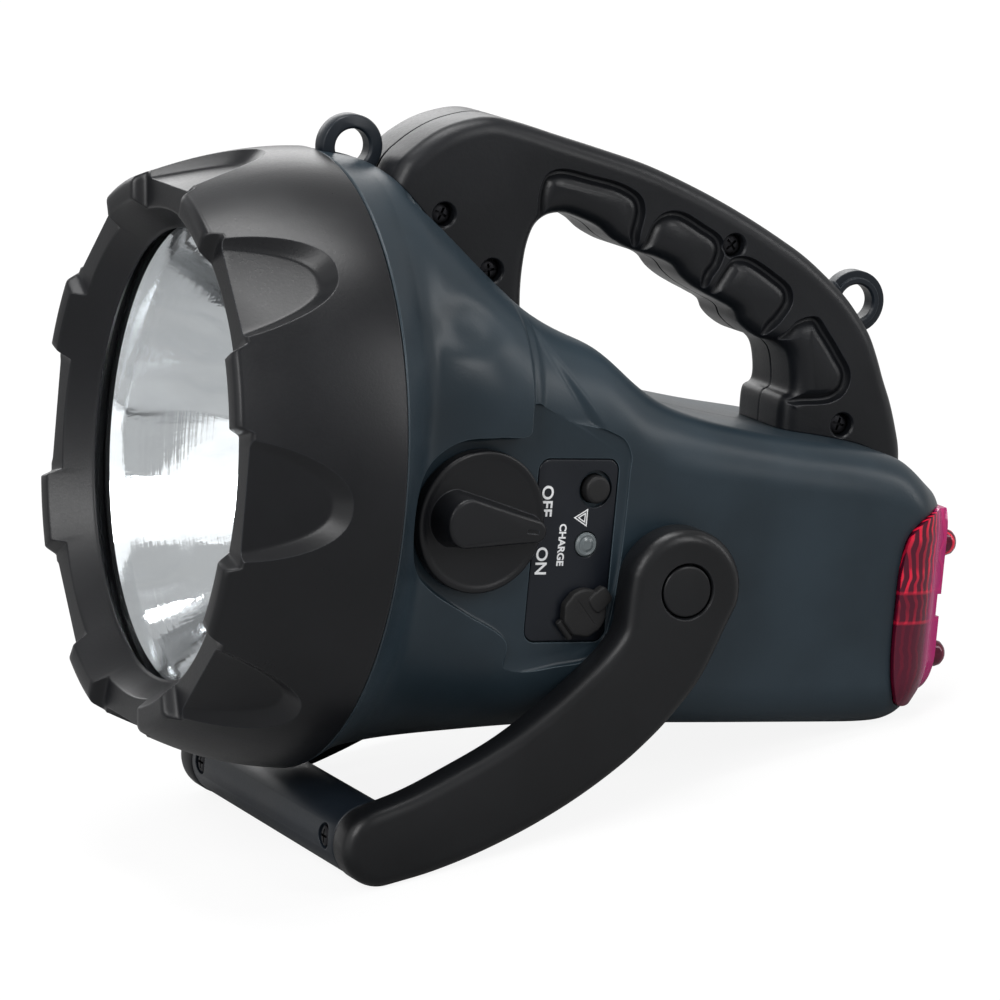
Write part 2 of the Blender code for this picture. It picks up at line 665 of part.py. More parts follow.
def tooth_gap_cutter(angle):
    """The cutter of the space between two teeth, with sloping flanks."""
    half_angle = math.pi / TOOTH_COUNT * (1 - TOOTH_WIDTH_SHARE)
    floor = BEZEL_LENGTH - TOOTH_HEIGHT
    reach = HEAD_RADIUS + OVERRUN
    inner = LIP_RADIUS / 2
    outline = []
    mouth_widening = TOOTH_SLOPE * (1 + OVERRUN / TOOTH_HEIGHT)
    for x, widen in ((-floor, 0.0), (-(BEZEL_LENGTH + OVERRUN), mouth_widening)):
        ring = []
        for radius, side in ((inner, -1), (reach, -1), (reach, 1), (inner, 1)):
            half_width = radius * math.tan(half_angle) + widen
            ring.append((x, side * half_width, radius))
        outline.append(ring)
    return placed(loft("tooth_gap", outline), Matrix.Rotation(angle, 4, "X"))


def make_bezel():
    """The black ring in front of the seam, with its teeth, hollows and lens seat."""
    at = bezel_places()
    profile = []
    for i in range(BARREL_STATIONS + 1):
        distance = (BEZEL_LENGTH - RIM_CHAMFER) * i / BARREL_STATIONS
        start = GAP / 2 if i == 0 else distance
        profile.append((-start, barrel_radius(distance)))
    profile += [
        (-BEZEL_LENGTH, RIM_RADIUS - RIM_CHAMFER),
        (-BEZEL_LENGTH, RIM_RADIUS - RIM_CHAMFER - RIM_FACE),
        (at.lip, LIP_RADIUS),
        (at.lip + LIP_THICKNESS, LIP_RADIUS),
        (at.lip + LIP_THICKNESS, LENS_RADIUS + GAP),
        (at.gasket_back, LENS_RADIUS + GAP),
        (at.gasket_back, SPIGOT_RADIUS + GAP),
        (-GAP / 2, SPIGOT_RADIUS + GAP),
    ]
    bezel = turned("bezel", profile, ROUND_STEPS, "black_plastic")
    for i in range(TOOTH_COUNT):
        angle = 2 * math.pi * i / TOOTH_COUNT
        cut(bezel, tooth_gap_cutter(angle), scoop_cutter(angle))
    return bezel


def make_lens_stack():
    """The front lens, its gasket and the reflector, which the bezel clamps to the spigot."""
    at = bezel_places()
    disc = disc_profile(at.lens_front, at.lens_back, LENS_RADIUS)
    lens = turned("front_lens", disc, ROUND_STEPS, "clear_plastic")
    ring = disc_profile(at.gasket_front, at.gasket_back, LENS_RADIUS, GASKET_BORE_RADIUS)
    gasket = turned("lens_gasket", ring, ROUND_STEPS, "black_rubber")
    depth = REFLECTOR_APEX - at.flange_front

    def dish(x, grow):
        share = max(REFLECTOR_APEX + grow - x, 0) / depth
        return REFLECTOR_MOUTH_RADIUS * math.sqrt(share) + grow

    hole_share = (BULB_HOLE_RADIUS / REFLECTOR_MOUTH_RADIUS) ** 2
    neck = REFLECTOR_APEX - depth * hole_share
    inner = []
    outer = []
    for i in range(REFLECTOR_STATIONS):
        share = i / (REFLECTOR_STATIONS - 1)
        x = at.flange_front + (neck - at.flange_front) * (1 - (1 - share) ** REFLECTOR_SPACING_POWER)
        behind = max(x, at.flange_back)
        inner.append((x, dish(x, 0.0)))
        outer.append((behind, dish(behind, REFLECTOR_WALL)))
    profile = inner + [(neck + REFLECTOR_WALL, BULB_HOLE_RADIUS)]
    profile += [(neck + REFLECTOR_WALL, outer[-1][1])] + outer[-2:0:-1]
    profile += [
        (at.flange_back, outer[0][1]), (at.flange_back, FLANGE_RADIUS),
        (at.flange_front, FLANGE_RADIUS),
    ]
    reflector = turned("reflector", profile, ROUND_STEPS, "chrome")
    return lens, gasket, reflector, neck + REFLECTOR_WALL


def make_bulb(seat):
    """The bulb, its base and the socket that the reflector's neck carries."""
    tip = seat - BULB_LENGTH
    shoulder = tip + BULB_RADIUS
    glass_end = seat - GAP
    along, out = (share * BULB_RADIUS for share in BULB_DOME_SHARES)
    profile = [
        (tip, 0), (tip + along, out), (shoulder, BULB_RADIUS), (glass_end, BULB_RADIUS), (glass_end, 0),
    ]
    glass = turned("bulb_glass", profile, SMALL_STEPS, "clear_plastic")
    flange_start = seat + GAP
    flange_end = flange_start + BULB_FLANGE_THICKNESS
    base_end = flange_end + BULB_BASE_LENGTH
    stem = BULB_STEM_RADIUS
    profile = [
        (seat, 0), (seat, BULB_BASE_RADIUS), (flange_start, BULB_BASE_RADIUS),
        (flange_start, BULB_FLANGE_RADIUS), (flange_end, BULB_FLANGE_RADIUS), (flange_end, stem),
        (base_end, stem), (base_end, 0),
    ]
    base = turned("bulb_base", profile, MEDIUM_STEPS, "brass")
    start = flange_end + GAP
    end = start + SOCKET_LENGTH
    floor = base_end + GAP
    bore = stem + GAP
    profile = [
        (start, bore), (start, SOCKET_RADIUS), (end, SOCKET_RADIUS), (end, 0), (floor, 0), (floor, bore),
    ]
    socket = turned("bulb_socket", profile, MEDIUM_STEPS, "white_plastic")
    return glass, base, socket


def tail_outline(grow):
    """The tail lens's outline from the side, as (x, z) points, open to the rear."""
    front = BODY_LENGTH - TAIL_DEPTH
    points = []
    for along, down in TAIL_EDGE_SHARES:
        points.append((front + along * TAIL_DEPTH, TAIL_TOP - down * TAIL_HEIGHT))
    rear = BODY_LENGTH + OVERRUN
    points.append((rear, TAIL_TOP - TAIL_HEIGHT))
    points.append((rear, TAIL_TOP))
    return inset_outline(points, -grow) if grow else points


def make_tail_lens():
    """The red tail lens, which wraps round the rear end, with its groove and its four pegs."""
    lens = body_form("tail_lens", TAIL_BULGE)
    lens.data.materials.append(finish("red_plastic"))
    reach = HEAD_RADIUS
    common(lens, prism("outline", tail_outline(-GAP), -reach, reach))
    hollow = body_form("hollow", TAIL_BULGE - TAIL_WALL)
    cut(lens, hollow)
    rear = BODY_LENGTH + TAIL_BULGE
    for side in (-1, 1):
        for z_share in PEG_PLACE_SHARES:
            profile = [
                (rear - TAIL_WALL / 2, 0), (rear - TAIL_WALL / 2, PEG_RADIUS),
                (rear + PEG_REACH - PEG_CHAMFER, PEG_RADIUS),
                (rear + PEG_REACH, PEG_RADIUS - PEG_CHAMFER),
                (rear + PEG_REACH, 0),
            ]
            peg = turned("peg", profile, SMALL_STEPS)
            place = (0, side * PEG_SPREAD_SHARE * HEAD_RADIUS, z_share * HEAD_RADIUS)
            weld(lens, placed(peg, Matrix.Translation(place)))
    low = (rear - TAIL_GROOVE_DEPTH, -reach, TAIL_GROOVE_PLACE - TAIL_GROOVE_HEIGHT / 2)
    high = (rear + OVERRUN, reach, TAIL_GROOVE_PLACE + TAIL_GROOVE_HEIGHT / 2)
    cut(lens, block("groove", low, high))
    return lens


def make_tail_lamp():
    """The board, its three lamps and the white tray behind the tail lens."""
    board_back = BATTERY_FRONT + BATTERY_LENGTH + GAP
    board_front = board_back + TAIL_BOARD_THICKNESS
    half = TAIL_BOARD_WIDTH_SHARE * HEAD_RADIUS / 2
    half_height = TAIL_BOARD_HEIGHT_SHARE * HEAD_RADIUS / 2
    low = TAIL_GROOVE_PLACE - half_height
    high = TAIL_GROOVE_PLACE + half_height
    board = block("tail_board", (board_back, -half, low), (board_front, half, high), "board_green")
    tray_back = board_front + GAP
    tray_front = tray_back + TAIL_TRAY_THICKNESS
    edge = half + TAIL_TRAY_THICKNESS
    tray = block("tail_tray", (tray_back, -edge, low), (tray_front, edge, high), "white_plastic")
    pieces = [board, tray]
    for i in range(TAIL_LED_COUNT):
        y = (i - (TAIL_LED_COUNT - 1) / 2) * TAIL_LED_SPACING
        at = Matrix.Translation((0, y, TAIL_GROOVE_PLACE))
        clear = TAIL_LED_RADIUS + GAP
        through = disc_profile(tray_back - OVERRUN, tray_front + OVERRUN, clear)
        hole = turned("hole", through, SMALL_STEPS)
        cut(tray, placed(hole, at))
        end = tray_back + TAIL_LED_LENGTH
        along, out = (share * TAIL_LED_RADIUS for share in TAIL_LED_DOME_SHARES)
        profile = [
            (tray_back, 0), (tray_back, TAIL_LED_RADIUS), (end - TAIL_LED_RADIUS, TAIL_LED_RADIUS),
            (end - along, out), (end, 0),
        ]
        led = turned(f"tail_led_{i + 1}", profile, SMALL_STEPS, "red_plastic")
        pieces.append(placed(led, at))
    return pieces


def handle_screw_places():
    """The handle screws' places, as (x, z) points."""
    return [(along * HANDLE_SPAN, up * HANDLE_RISE) for along, up, _ in HANDLE_SCREW_SHARES]


def body_screw_places():
    """The body screws' places, as (x, z) points."""
    front = (BATTERY_FRONT - FRONT_SCREW_SPACE, FRONT_SCREW_SHARE * HEAD_RADIUS)
    others = [(along * BODY_LENGTH, up * HEAD_RADIUS) for along, up in BODY_SCREW_SHARES]
    return [front, *others]


def handle_outline():
    """The handle's closed outline in the plane of symmetry, as (x, z) points."""
    shares = HANDLE_OUTER_SHARES + HANDLE_UNDER_SHARES
    return [(along * HANDLE_SPAN, up * HANDLE_RISE) for along, up in shares]


def grip_panels(side):
    """Cutters of the shallow grip panels on one side of the handle."""
    face = side * HANDLE_HALF_WIDTH
    near = face - side * GRIP_PANEL_DEPTH
    far = face + side * OVERRUN
    cutters = []
    for along, up, length_share, width_share, slope in GRIP_PANEL_SHARES:
        length = length_share * HANDLE_HALF_WIDTH
        width = width_share * HANDLE_HALF_WIDTH
        flat = rounded_rectangle(0, 0, length, width, GRIP_PANEL_CORNER, GRIP_PANEL_STEPS)
        turn = Matrix.Rotation(math.radians(slope), 2)
        centre = Vector((along * HANDLE_SPAN, up * HANDLE_RISE))
        outline = [tuple(centre + turn @ Vector(point)) for point in flat]
        cutters.append(prism("grip_panel", outline, near, far))
    return cutters


def stepped_hole(tip, seat, mouth):
    """The cutter, along X, of a screw's hole from tip to seat and of its well from seat to mouth."""
    hole_radius = SCREW_RADIUS + GAP
    profile = [
        (tip, 0), (tip, hole_radius), (seat, hole_radius),
        (seat, WELL_RADIUS), (mouth, WELL_RADIUS), (mouth, 0),
    ]
    return turned("screw_hole", profile, SMALL_STEPS)


def screw_cut(x, z, tip, seat, mouth):
    """The cutter of a screw's hole and well across the lamp, with places along Y."""
    return placed(stepped_hole(tip, seat, mouth), across(x, z, 1))


def boss(x, z, near, far):
    """A screw boss across the lamp from near to far."""
    post = turned("boss", disc_profile(min(near, far), max(near, far), BOSS_RADIUS), SMALL_STEPS)
    return placed(post, across(x, z, 1))


def make_screw(name, x, z, seat, direction, length):
    """A screw across the lamp whose head stands on seat and whose tip points along direction."""
    head = seat - direction * GAP
    top = head - direction * SCREW_HEAD_HEIGHT
    tip = head + direction * length
    profile = [
        (top, 0), (top, SCREW_HEAD_RADIUS), (head, SCREW_HEAD_RADIUS), (head, SCREW_RADIUS),
        (tip, SCREW_RADIUS), (tip, 0),
    ]
    return placed(turned(name, profile, SMALL_STEPS, "steel"), across(x, z, 1))


def make_handle():
    """The two black halves of the handle, hollow, fitted to the body and screwed together."""
    outline = handle_outline()
    crown = inset_outline(outline, HANDLE_ROUNDING)
    first_slope = HANDLE_ROUNDING * ROUNDING_SHOULDER_SHARE
    shoulder = inset_outline(outline, first_slope)
    hollow_outline = inset_outline(outline, HANDLE_WALL)
    halves = []
    for side, name in ((-1, "handle_left"), (1, "handle_right")):
        flat = HANDLE_HALF_WIDTH - HANDLE_ROUNDING
        levels = (
            (GAP / 2, outline), (flat, outline),
            (HANDLE_HALF_WIDTH - first_slope, shoulder), (HANDLE_HALF_WIDTH, crown),
        )
        rings = [[(x, side * y, z) for x, z in shape] for y, shape in levels]
        half = loft(name, rings, "black_plastic")
        hollow_depth = HANDLE_HALF_WIDTH - HANDLE_WALL
        cut(half, prism("hollow", hollow_outline, -side * OVERRUN, side * hollow_depth))
        cut(half, *grip_panels(side))
        for (x, z), (_, _, free) in zip(handle_screw_places(), HANDLE_SCREW_SHARES):
            near = free * (TONGUE_HALF_WIDTH + GAP / 2) + GAP / 2
            weld(half, boss(x, z, side * near, side * (hollow_depth + HANDLE_WALL / 2)))
        cut(half, body_form("body_clearance", GAP, OVERRUN))
        for x, z in handle_screw_places():
            tip = SCREW_LENGTH - HANDLE_WELL_FLOOR + GAP
            cut(half, screw_cut(x, z, tip, -HANDLE_WELL_FLOOR, -HANDLE_HALF_WIDTH - OVERRUN))
        cut(half, *eyelet_slot(*rear_eyelet()))
        halves.append(half)
    screws = []
    for i, (x, z) in enumerate(handle_screw_places()):
        screws.append(make_screw(f"handle_screw_{i + 1}", x, z, -HANDLE_WELL_FLOOR, 1, SCREW_LENGTH))
    return halves, screws


def front_eyelet():
    """The place, lean and neck length of the front eyelet."""
    return FRONT_EYELET_X, HEAD_RADIUS + FRONT_EYELET_RISE, 0.0, FRONT_EYELET_NECK


def rear_eyelet():
    """The place, lean and neck length of the rear eyelet."""
    along, up = REAR_EYELET_SHARES
    return along * HANDLE_SPAN, up * HANDLE_RISE, REAR_EYELET_LEAN, REAR_EYELET_NECK


def eyelet_frame(x, z, lean):
    """The matrix of an eyelet whose stem points down and then leans back."""
    return Matrix.Translation((x, 0, z)) @ Matrix.Rotation(lean, 4, "Y")


def make_eyelet(name, x, z, lean, neck_length):
    """A strap eyelet: a ring on a short neck with a foot that the halves trap."""
    half = EYELET_THICKNESS / 2
    at = eyelet_frame(x, z, lean)
    neck = EYELET_NECK_WIDTH / 2
    foot = EYELET_FOOT_WIDTH / 2
    end = -neck_length - EYELET_FOOT_HEIGHT
    start = math.asin(neck / EYELET_RADIUS)
    outline = []
    for i in range(EYELET_STEPS + 1):
        angle = start + (2 * math.pi - 2 * start) * i / EYELET_STEPS
        outline.append((EYELET_RADIUS * math.sin(angle), -EYELET_RADIUS * math.cos(angle)))
    outline += [(-neck, -neck_length), (-foot, -neck_length), (-foot, end)]
    outline += [(foot, end), (foot, -neck_length), (neck, -neck_length)]
    body = prism(name, outline, -half, half, "black_plastic")
    through = disc_profile(-EYELET_THICKNESS, EYELET_THICKNESS, EYELET_HOLE_RADIUS)
    hole = turned("hole", through, MEDIUM_STEPS)
    cut(body, placed(hole, Matrix.Rotation(math.pi / 2, 4, "Z")))
    return placed(body, at)


def eyelet_slot(x, z, lean, neck_length):
    """Cutters of the slot that holds an eyelet's neck and foot."""
    half = EYELET_THICKNESS / 2 + GAP
    neck = EYELET_NECK_WIDTH / 2 + GAP
    foot = EYELET_FOOT_WIDTH / 2 + GAP
    end = -neck_length - EYELET_FOOT_HEIGHT - GAP
    at = eyelet_frame(x, z, lean)
    high = block("slot", (-neck, -half, end), (neck, half, 0))
    low = block("slot_foot", (-foot, -half, end), (foot, half, -neck_length + GAP))
    ring = turned("slot_ring", disc_profile(-half, half, EYELET_RADIUS + GAP), MEDIUM_STEPS)
    placed(ring, Matrix.Rotation(math.pi / 2, 4, "Z"))
    return placed(high, at), placed(low, at), placed(ring, at)


def tongue(side):
    """The two tongues of one body half that stand inside the handle's roots."""
    outline = inset_outline(handle_outline(), HANDLE_WALL + GAP)
    near = -side * OVERRUN
    far = side * TONGUE_HALF_WIDTH
    pieces = []
    low = -HANDLE_RISE
    front_along, front_up = FRONT_TONGUE_SHARES
    rear_along, rear_up = REAR_TONGUE_SHARES
    boxes = (
        ((0.0, low), (front_along * HANDLE_SPAN, front_up * HANDLE_RISE)),
        ((rear_along * HANDLE_SPAN, low), (HANDLE_SPAN, rear_up * HANDLE_RISE)),
    )
    for (x_low, z_low), (x_high, z_high) in boxes:
        piece = prism("tongue", outline, near, far)
        reach = HANDLE_HALF_WIDTH
        limits = block("limits", (x_low, -reach, z_low), (x_high, reach, z_high))
        common(piece, limits)
        cut(piece, body_form("inside", -BODY_WALL / 2, OVERRUN))
        pieces.append(piece)
    return pieces


def panel_pocket():
    """The cutter of the control panel's pocket, whose front wall flares outwards."""
    floor = [(u * PANEL_SIZE, v * PANEL_SIZE) for u, v in PANEL_SHARES]
    top = [(u + min(u, 0) * PANEL_FLARE_SHARE, v) for u, v in floor]
    rings = [[(u, 0.0, v) for u, v in floor], [(u, -PANEL_POCKET_HEIGHT, v) for u, v in top]]
    return placed(loft("panel_pocket", rings), panel_frame())


def make_body():
    """The two grey halves of the body with everything that they carry."""
    halves = []
    spigot_front = bezel_places().flange_back + GAP
    bore = SPIGOT_RADIUS - SPIGOT_WALL
    for side, name in ((-1, "body_left"), (1, "body_right")):
        half = body_form(name)
        half.data.materials.append(finish("grey_plastic"))
        if side < 0:
            panel_outline = [(u * PANEL_SIZE, v * PANEL_SIZE) for u, v in PANEL_SHARES]
            us = [u for u, v in panel_outline]
            vs = [v for u, v in panel_outline]
            low_u, high_u = min(us) - PANEL_MARGIN, max(us) + PANEL_MARGIN
            low_v, high_v = min(vs) - PANEL_MARGIN, max(vs) + PANEL_MARGIN
            frame = [(low_u, low_v), (high_u, low_v), (high_u, high_v), (low_u, high_v)]
            backing = panel_prism("backing", frame, -PANEL_BACKING, PANEL_POCKET_HEIGHT)
            common(backing, body_form("limits", -BODY_WALL / 2))
        cut(half, body_form("hollow", -BODY_WALL, OVERRUN))
        if side < 0:
            weld(half, backing)
            cut(half, panel_pocket())
        root_radius = HEAD_RADIUS - SEAM_STEP - BODY_WALL / 2
        profile = [
            (spigot_front, bore), (spigot_front, SPIGOT_RADIUS), (GAP, SPIGOT_RADIUS),
            (GAP, root_radius), (SPIGOT_ROOT, root_radius), (SPIGOT_ROOT, bore),
        ]
        spigot = turned("spigot", profile, ROUND_STEPS)
        weld(half, common(spigot, body_form("limits", -BODY_WALL / 2, BEZEL_LENGTH)))
        weld(half, *tongue(side))
        boss_face = disc_profile(PIVOT_BOSS_FACE - PIVOT_BOSS_DEPTH, PIVOT_BOSS_FACE, PIVOT_BOSS_RADIUS)
        weld(half, placed(turned("pivot_boss", boss_face, MEDIUM_STEPS), across(PIVOT_X, PIVOT_Z, side)))
        for x, z in body_screw_places():
            post = boss(x, z, -side * OVERRUN, side * HEAD_RADIUS)
            common(post, body_form("limits", -BODY_WALL / 2))
            weld(half, post)
        common(half, side_block(side))
        hole = disc_profile(0.0, HEAD_RADIUS, PIVOT_BOLT_RADIUS + GAP)
        cut(half, placed(turned("pivot_hole", hole, MEDIUM_STEPS), across(PIVOT_X, PIVOT_Z, side)))
        reach = HEAD_RADIUS
        cut(half, prism("tail_opening", tail_outline(0.0), -reach, reach))
        for x, z in handle_screw_places():
            hole = disc_profile(-HANDLE_HALF_WIDTH, HANDLE_HALF_WIDTH, SCREW_RADIUS + GAP)
            cut(half, placed(turned("hole", hole, SMALL_STEPS), across(x, z, 1)))
        for x, z in body_screw_places():
            cut(half, screw_cut(x, z, BODY_WELL_FLOOR - SCREW_LENGTH - GAP, BODY_WELL_FLOOR, HEAD_RADIUS))
        cut(half, *eyelet_slot(*front_eyelet()))
        if side < 0:
            cut_panel_holes(half)
        halves.append(half)
    screws = []
    for i, (x, z) in enumerate(body_screw_places()):
        screws.append(make_screw(f"body_screw_{i + 1}", x, z, BODY_WELL_FLOOR, -1, SCREW_LENGTH))
    return halves, screws


def plate_outline(grow):
    """The label plate's outline on the panel."""
    width = PLATE_WIDTH + 2 * grow
    height = PLATE_HEIGHT + 2 * grow
    return rounded_rectangle(PLATE_U, PLATE_V, width, height, PLATE_CORNER + grow, GRIP_PANEL_STEPS)


def panel_hole(u, v, radius):
    """The cutter of a round hole through the panel."""
    hole = turned("panel_hole", disc_profile(-OVERRUN, OVERRUN, radius), MEDIUM_STEPS)
    return placed(hole, on_panel(u, v))


def cut_panel_holes(half):
    """Cuts the plate's seat and the holes for what passes through the panel."""
    cut(half, panel_prism("plate_seat", plate_outline(GAP), -PLATE_THICKNESS - GAP, OVERRUN))
    cut(half, panel_hole(0.0, 0.0, SHAFT_RADIUS + GAP))
    cut(half, panel_hole(BUTTON_U, BUTTON_V, BUTTON_RADIUS + GAP))
    cut(half, panel_hole(LIGHT_U, LIGHT_V, LIGHT_RADIUS + GAP))
    cut(half, panel_hole(JACK_U, JACK_V, JACK_RADIUS + GAP))


def make_knob():
    """The switch knob: a disc with a raised pointer."""
    base = GAP
    top = base + KNOB_THICKNESS
    profile = [
        (base, 0), (base, KNOB_RADIUS), (top - KNOB_EDGE, KNOB_RADIUS), (top, KNOB_RADIUS - KNOB_EDGE),
        (top, 0),
    ]
    knob = turned("switch_knob", profile, MEDIUM_STEPS, "black_plastic")
    placed(knob, Matrix.Rotation(-math.pi / 2, 4, "Z"))
    outline = []
    heights = []
    ends = (
        (-KNOB_POINTER_BACK, KNOB_POINTER_RADIUS, KNOB_POINTER_HEIGHT, math.pi / 2),
        (KNOB_POINTER_REACH, KNOB_POINTER_TIP_RADIUS, KNOB_POINTER_TIP_HEIGHT, -math.pi / 2),
    )
    for centre, radius, height, first in ends:
        for i in range(KNOB_POINTER_STEPS + 1):
            angle = first + math.pi * i / KNOB_POINTER_STEPS
            outline.append((centre + radius * math.cos(angle), radius * math.sin(angle)))
            heights.append(height)
    start = top - KNOB_POINTER_SUNK
    crown = inset_outline(outline, KNOB_EDGE)
    rings = [
        [(u, -start, v) for u, v in outline],
        [(u, -(top + height - KNOB_EDGE), v) for (u, v), height in zip(outline, heights)],
        [(u, -(top + height), v) for (u, v), height in zip(crown, heights)],
    ]
    pointer = placed(loft("pointer", rings), Matrix.Rotation(-KNOB_POINTER_ANGLE, 4, "Y"))
    weld(knob, pointer)
    return placed(knob, panel_frame())


def make_controls():
    """The pieces of the control panel: those that stay and those that move."""
    plate = panel_prism("label_plate", plate_outline(0.0), -PLATE_THICKNESS, 0.0, "black_plastic")
    cut(plate, panel_hole(BUTTON_U, BUTTON_V, BUTTON_RING_RADIUS))
    cut(plate, panel_hole(LIGHT_U, LIGHT_V, LIGHT_RADIUS + GAP))
    cut(plate, panel_hole(JACK_U, JACK_V, JACK_RADIUS + GAP))
    swept = turned("knob_clearance", disc_profile(-OVERRUN, OVERRUN, SHAFT_RADIUS + GAP), MEDIUM_STEPS)
    cut(plate, placed(swept, on_panel(0.0, 0.0)))
    board_top = -BOARD_DEPTH
    board_u = (BUTTON_U + LIGHT_U) / 2
    corners = rounded_rectangle(board_u, PLATE_V, BOARD_WIDTH, BOARD_HEIGHT, PLATE_CORNER, 1)
    board = panel_prism("control_board", corners, board_top - BOARD_THICKNESS, board_top, "board_green")
    seat = board_top + GAP
    flange_top = -PANEL_BACKING - GAP
    flange_low = flange_top - BUTTON_FLANGE_THICKNESS
    contact_top = flange_low - BUTTON_TRAVEL - GAP
    half = CONTACT_HALF_WIDTH
    square = rounded_rectangle(BUTTON_U, BUTTON_V, 2 * half, 2 * half, CONTACT_CORNER, 1)
    contact = panel_prism("button_contact", square, seat, contact_top, "steel")
    up, out = BUTTON_DOME_SHARES
    profile = [
        (flange_low, 0), (flange_low, BUTTON_FLANGE_RADIUS), (flange_top, BUTTON_FLANGE_RADIUS),
        (flange_top, BUTTON_RADIUS), (BUTTON_PROUD * up, BUTTON_RADIUS),
        (BUTTON_PROUD, BUTTON_RADIUS * out), (BUTTON_PROUD, 0),
    ]
    button = turned("flash_button", profile, MEDIUM_STEPS, "black_rubber")
    placed(button, on_panel(BUTTON_U, BUTTON_V))
    up, out = LIGHT_DOME_SHARES
    profile = [
        (seat, 0), (seat, LIGHT_RADIUS), (0.0, LIGHT_RADIUS),
        (LIGHT_PROUD * up, LIGHT_RADIUS * out), (LIGHT_PROUD, 0),
    ]
    light = turned("charge_light", profile, MEDIUM_STEPS, "clear_plastic")
    placed(light, on_panel(LIGHT_U, LIGHT_V))
    mouth = -JACK_MOUTH_DEPTH
    floor = seat + JACK_FLOOR
    profile = [
        (seat, 0), (seat, JACK_RADIUS), (mouth, JACK_RADIUS), (mouth, JACK_BORE_RADIUS),
        (floor, JACK_BORE_RADIUS), (floor, 0),
    ]
    jack = placed(turned("charge_jack", profile, MEDIUM_STEPS, "steel"), on_panel(JACK_U, JACK_V))
    start = -PANEL_BACKING - GAP
    bore = SHAFT_RADIUS + GAP
    end = start - SWITCH_LENGTH
    bore_end = -SHAFT_LENGTH - GAP
    profile = [
        (end, 0), (end, SWITCH_RADIUS), (start, SWITCH_RADIUS),
        (start, bore), (bore_end, bore), (bore_end, 0),
    ]
    switch = placed(turned("rotary_switch", profile, MEDIUM_STEPS, "white_plastic"), on_panel(0.0, 0.0))
    shaft = turned("switch_shaft", disc_profile(-SHAFT_LENGTH, 0.0, SHAFT_RADIUS), SMALL_STEPS, "brass")
    placed(shaft, on_panel(0.0, 0.0))
    fixed = [plate, board, contact, light, jack, switch]
    return fixed, make_knob(), shaft, button, make_cap()


def cap_frame():
    """The frame of the socket's cap: X from the cap's centre along its pull tab."""
    centre = panel_frame() @ Matrix.Translation((JACK_U, 0, JACK_V))
    return centre @ Matrix.Rotation(-CAP_DIRECTION, 4, "Y")


def make_cap():
    """The rubber cap over the charging socket, with its stub, pull tab and hinge rib."""
    base = GAP
    top = base + CAP_THICKNESS
    edge = CAP_EDGE
    profile = [
        (base - CAP_STUB_LENGTH, 0), (base - CAP_STUB_LENGTH, CAP_STUB_RADIUS), (base, CAP_STUB_RADIUS),
        (base, CAP_RADIUS), (top - edge, CAP_RADIUS), (top, CAP_RADIUS - edge), (top, 0),
    ]
    cap = turned("socket_cap", profile, MEDIUM_STEPS, "black_rubber")
    placed(cap, Matrix.Rotation(-math.pi / 2, 4, "Z"))
    half = CAP_TAB_WIDTH / 2
    start = CAP_RADIUS / 2
    reach = CAP_RADIUS + CAP_TAB_REACH
    middle = base + CAP_EDGE
    tab_top = -(top + CAP_TAB_LIFT)
    tab_root = -(top - edge / 2)
    outline = [
        (start, -middle), (reach - edge, -middle), (reach, tab_top),
        (reach - 2 * edge, tab_top), (CAP_RADIUS, tab_root), (start, tab_root),
    ]
    rings = [[(u, w, v) for u, w in outline] for v in (-half, half)]
    weld(cap, loft("pull_tab", rings))
    centre = base + CAP_HINGE_RADIUS
    half_length = CAP_HINGE_HALF_LENGTH
    rib = turned("hinge_rib", disc_profile(-half_length, half_length, CAP_HINGE_RADIUS), SMALL_STEPS)
    hinge = Matrix.Translation((-CAP_HINGE_OFFSET, -centre, 0))
    placed(rib, hinge @ Matrix.Rotation(math.pi / 2, 4, "Y"))
    near = (-CAP_HINGE_OFFSET, -centre - edge / 2, -half_length * CAP_WEB_SHARE)
    far = (-CAP_RADIUS / 2, -centre + edge / 2, half_length * CAP_WEB_SHARE)
    weld(cap, block("hinge_web", near, far), rib)
    return placed(cap, cap_frame())


def arm_outline():
    """The bail arm's outline from the side, as (x, z) points: a curved tapering strap."""
    pivot = Vector((PIVOT_X, PIVOT_Z))
    bar = Vector((BAR_X, BAR_Z))
    chord = bar - pivot
    offset = Vector((-chord.y, chord.x))
    middle = [pivot + chord * along + offset * out for along, out, _ in ARM_SHARES]
    left = []
    right = []
    for i, (_, _, half) in enumerate(ARM_SHARES):
        run = (middle[min(i + 1, len(middle) - 1)] - middle[max(i - 1, 0)]).normalized()
        normal = Vector((run.y, -run.x))
        left.append(middle[i] + normal * ARM_BOSS_RADIUS * half)
        right.append(middle[i] - normal * ARM_BOSS_RADIUS * half)

    def round_end(centre, start):
        turns = [Matrix.Rotation(math.pi * i / ARM_END_STEPS, 2) for i in range(1, ARM_END_STEPS)]
        return [centre + turn @ (start - centre) for turn in turns]

    outline = left + round_end(bar, left[-1]) + right[::-1] + round_end(pivot, right[0])
    return [tuple(point) for point in outline]


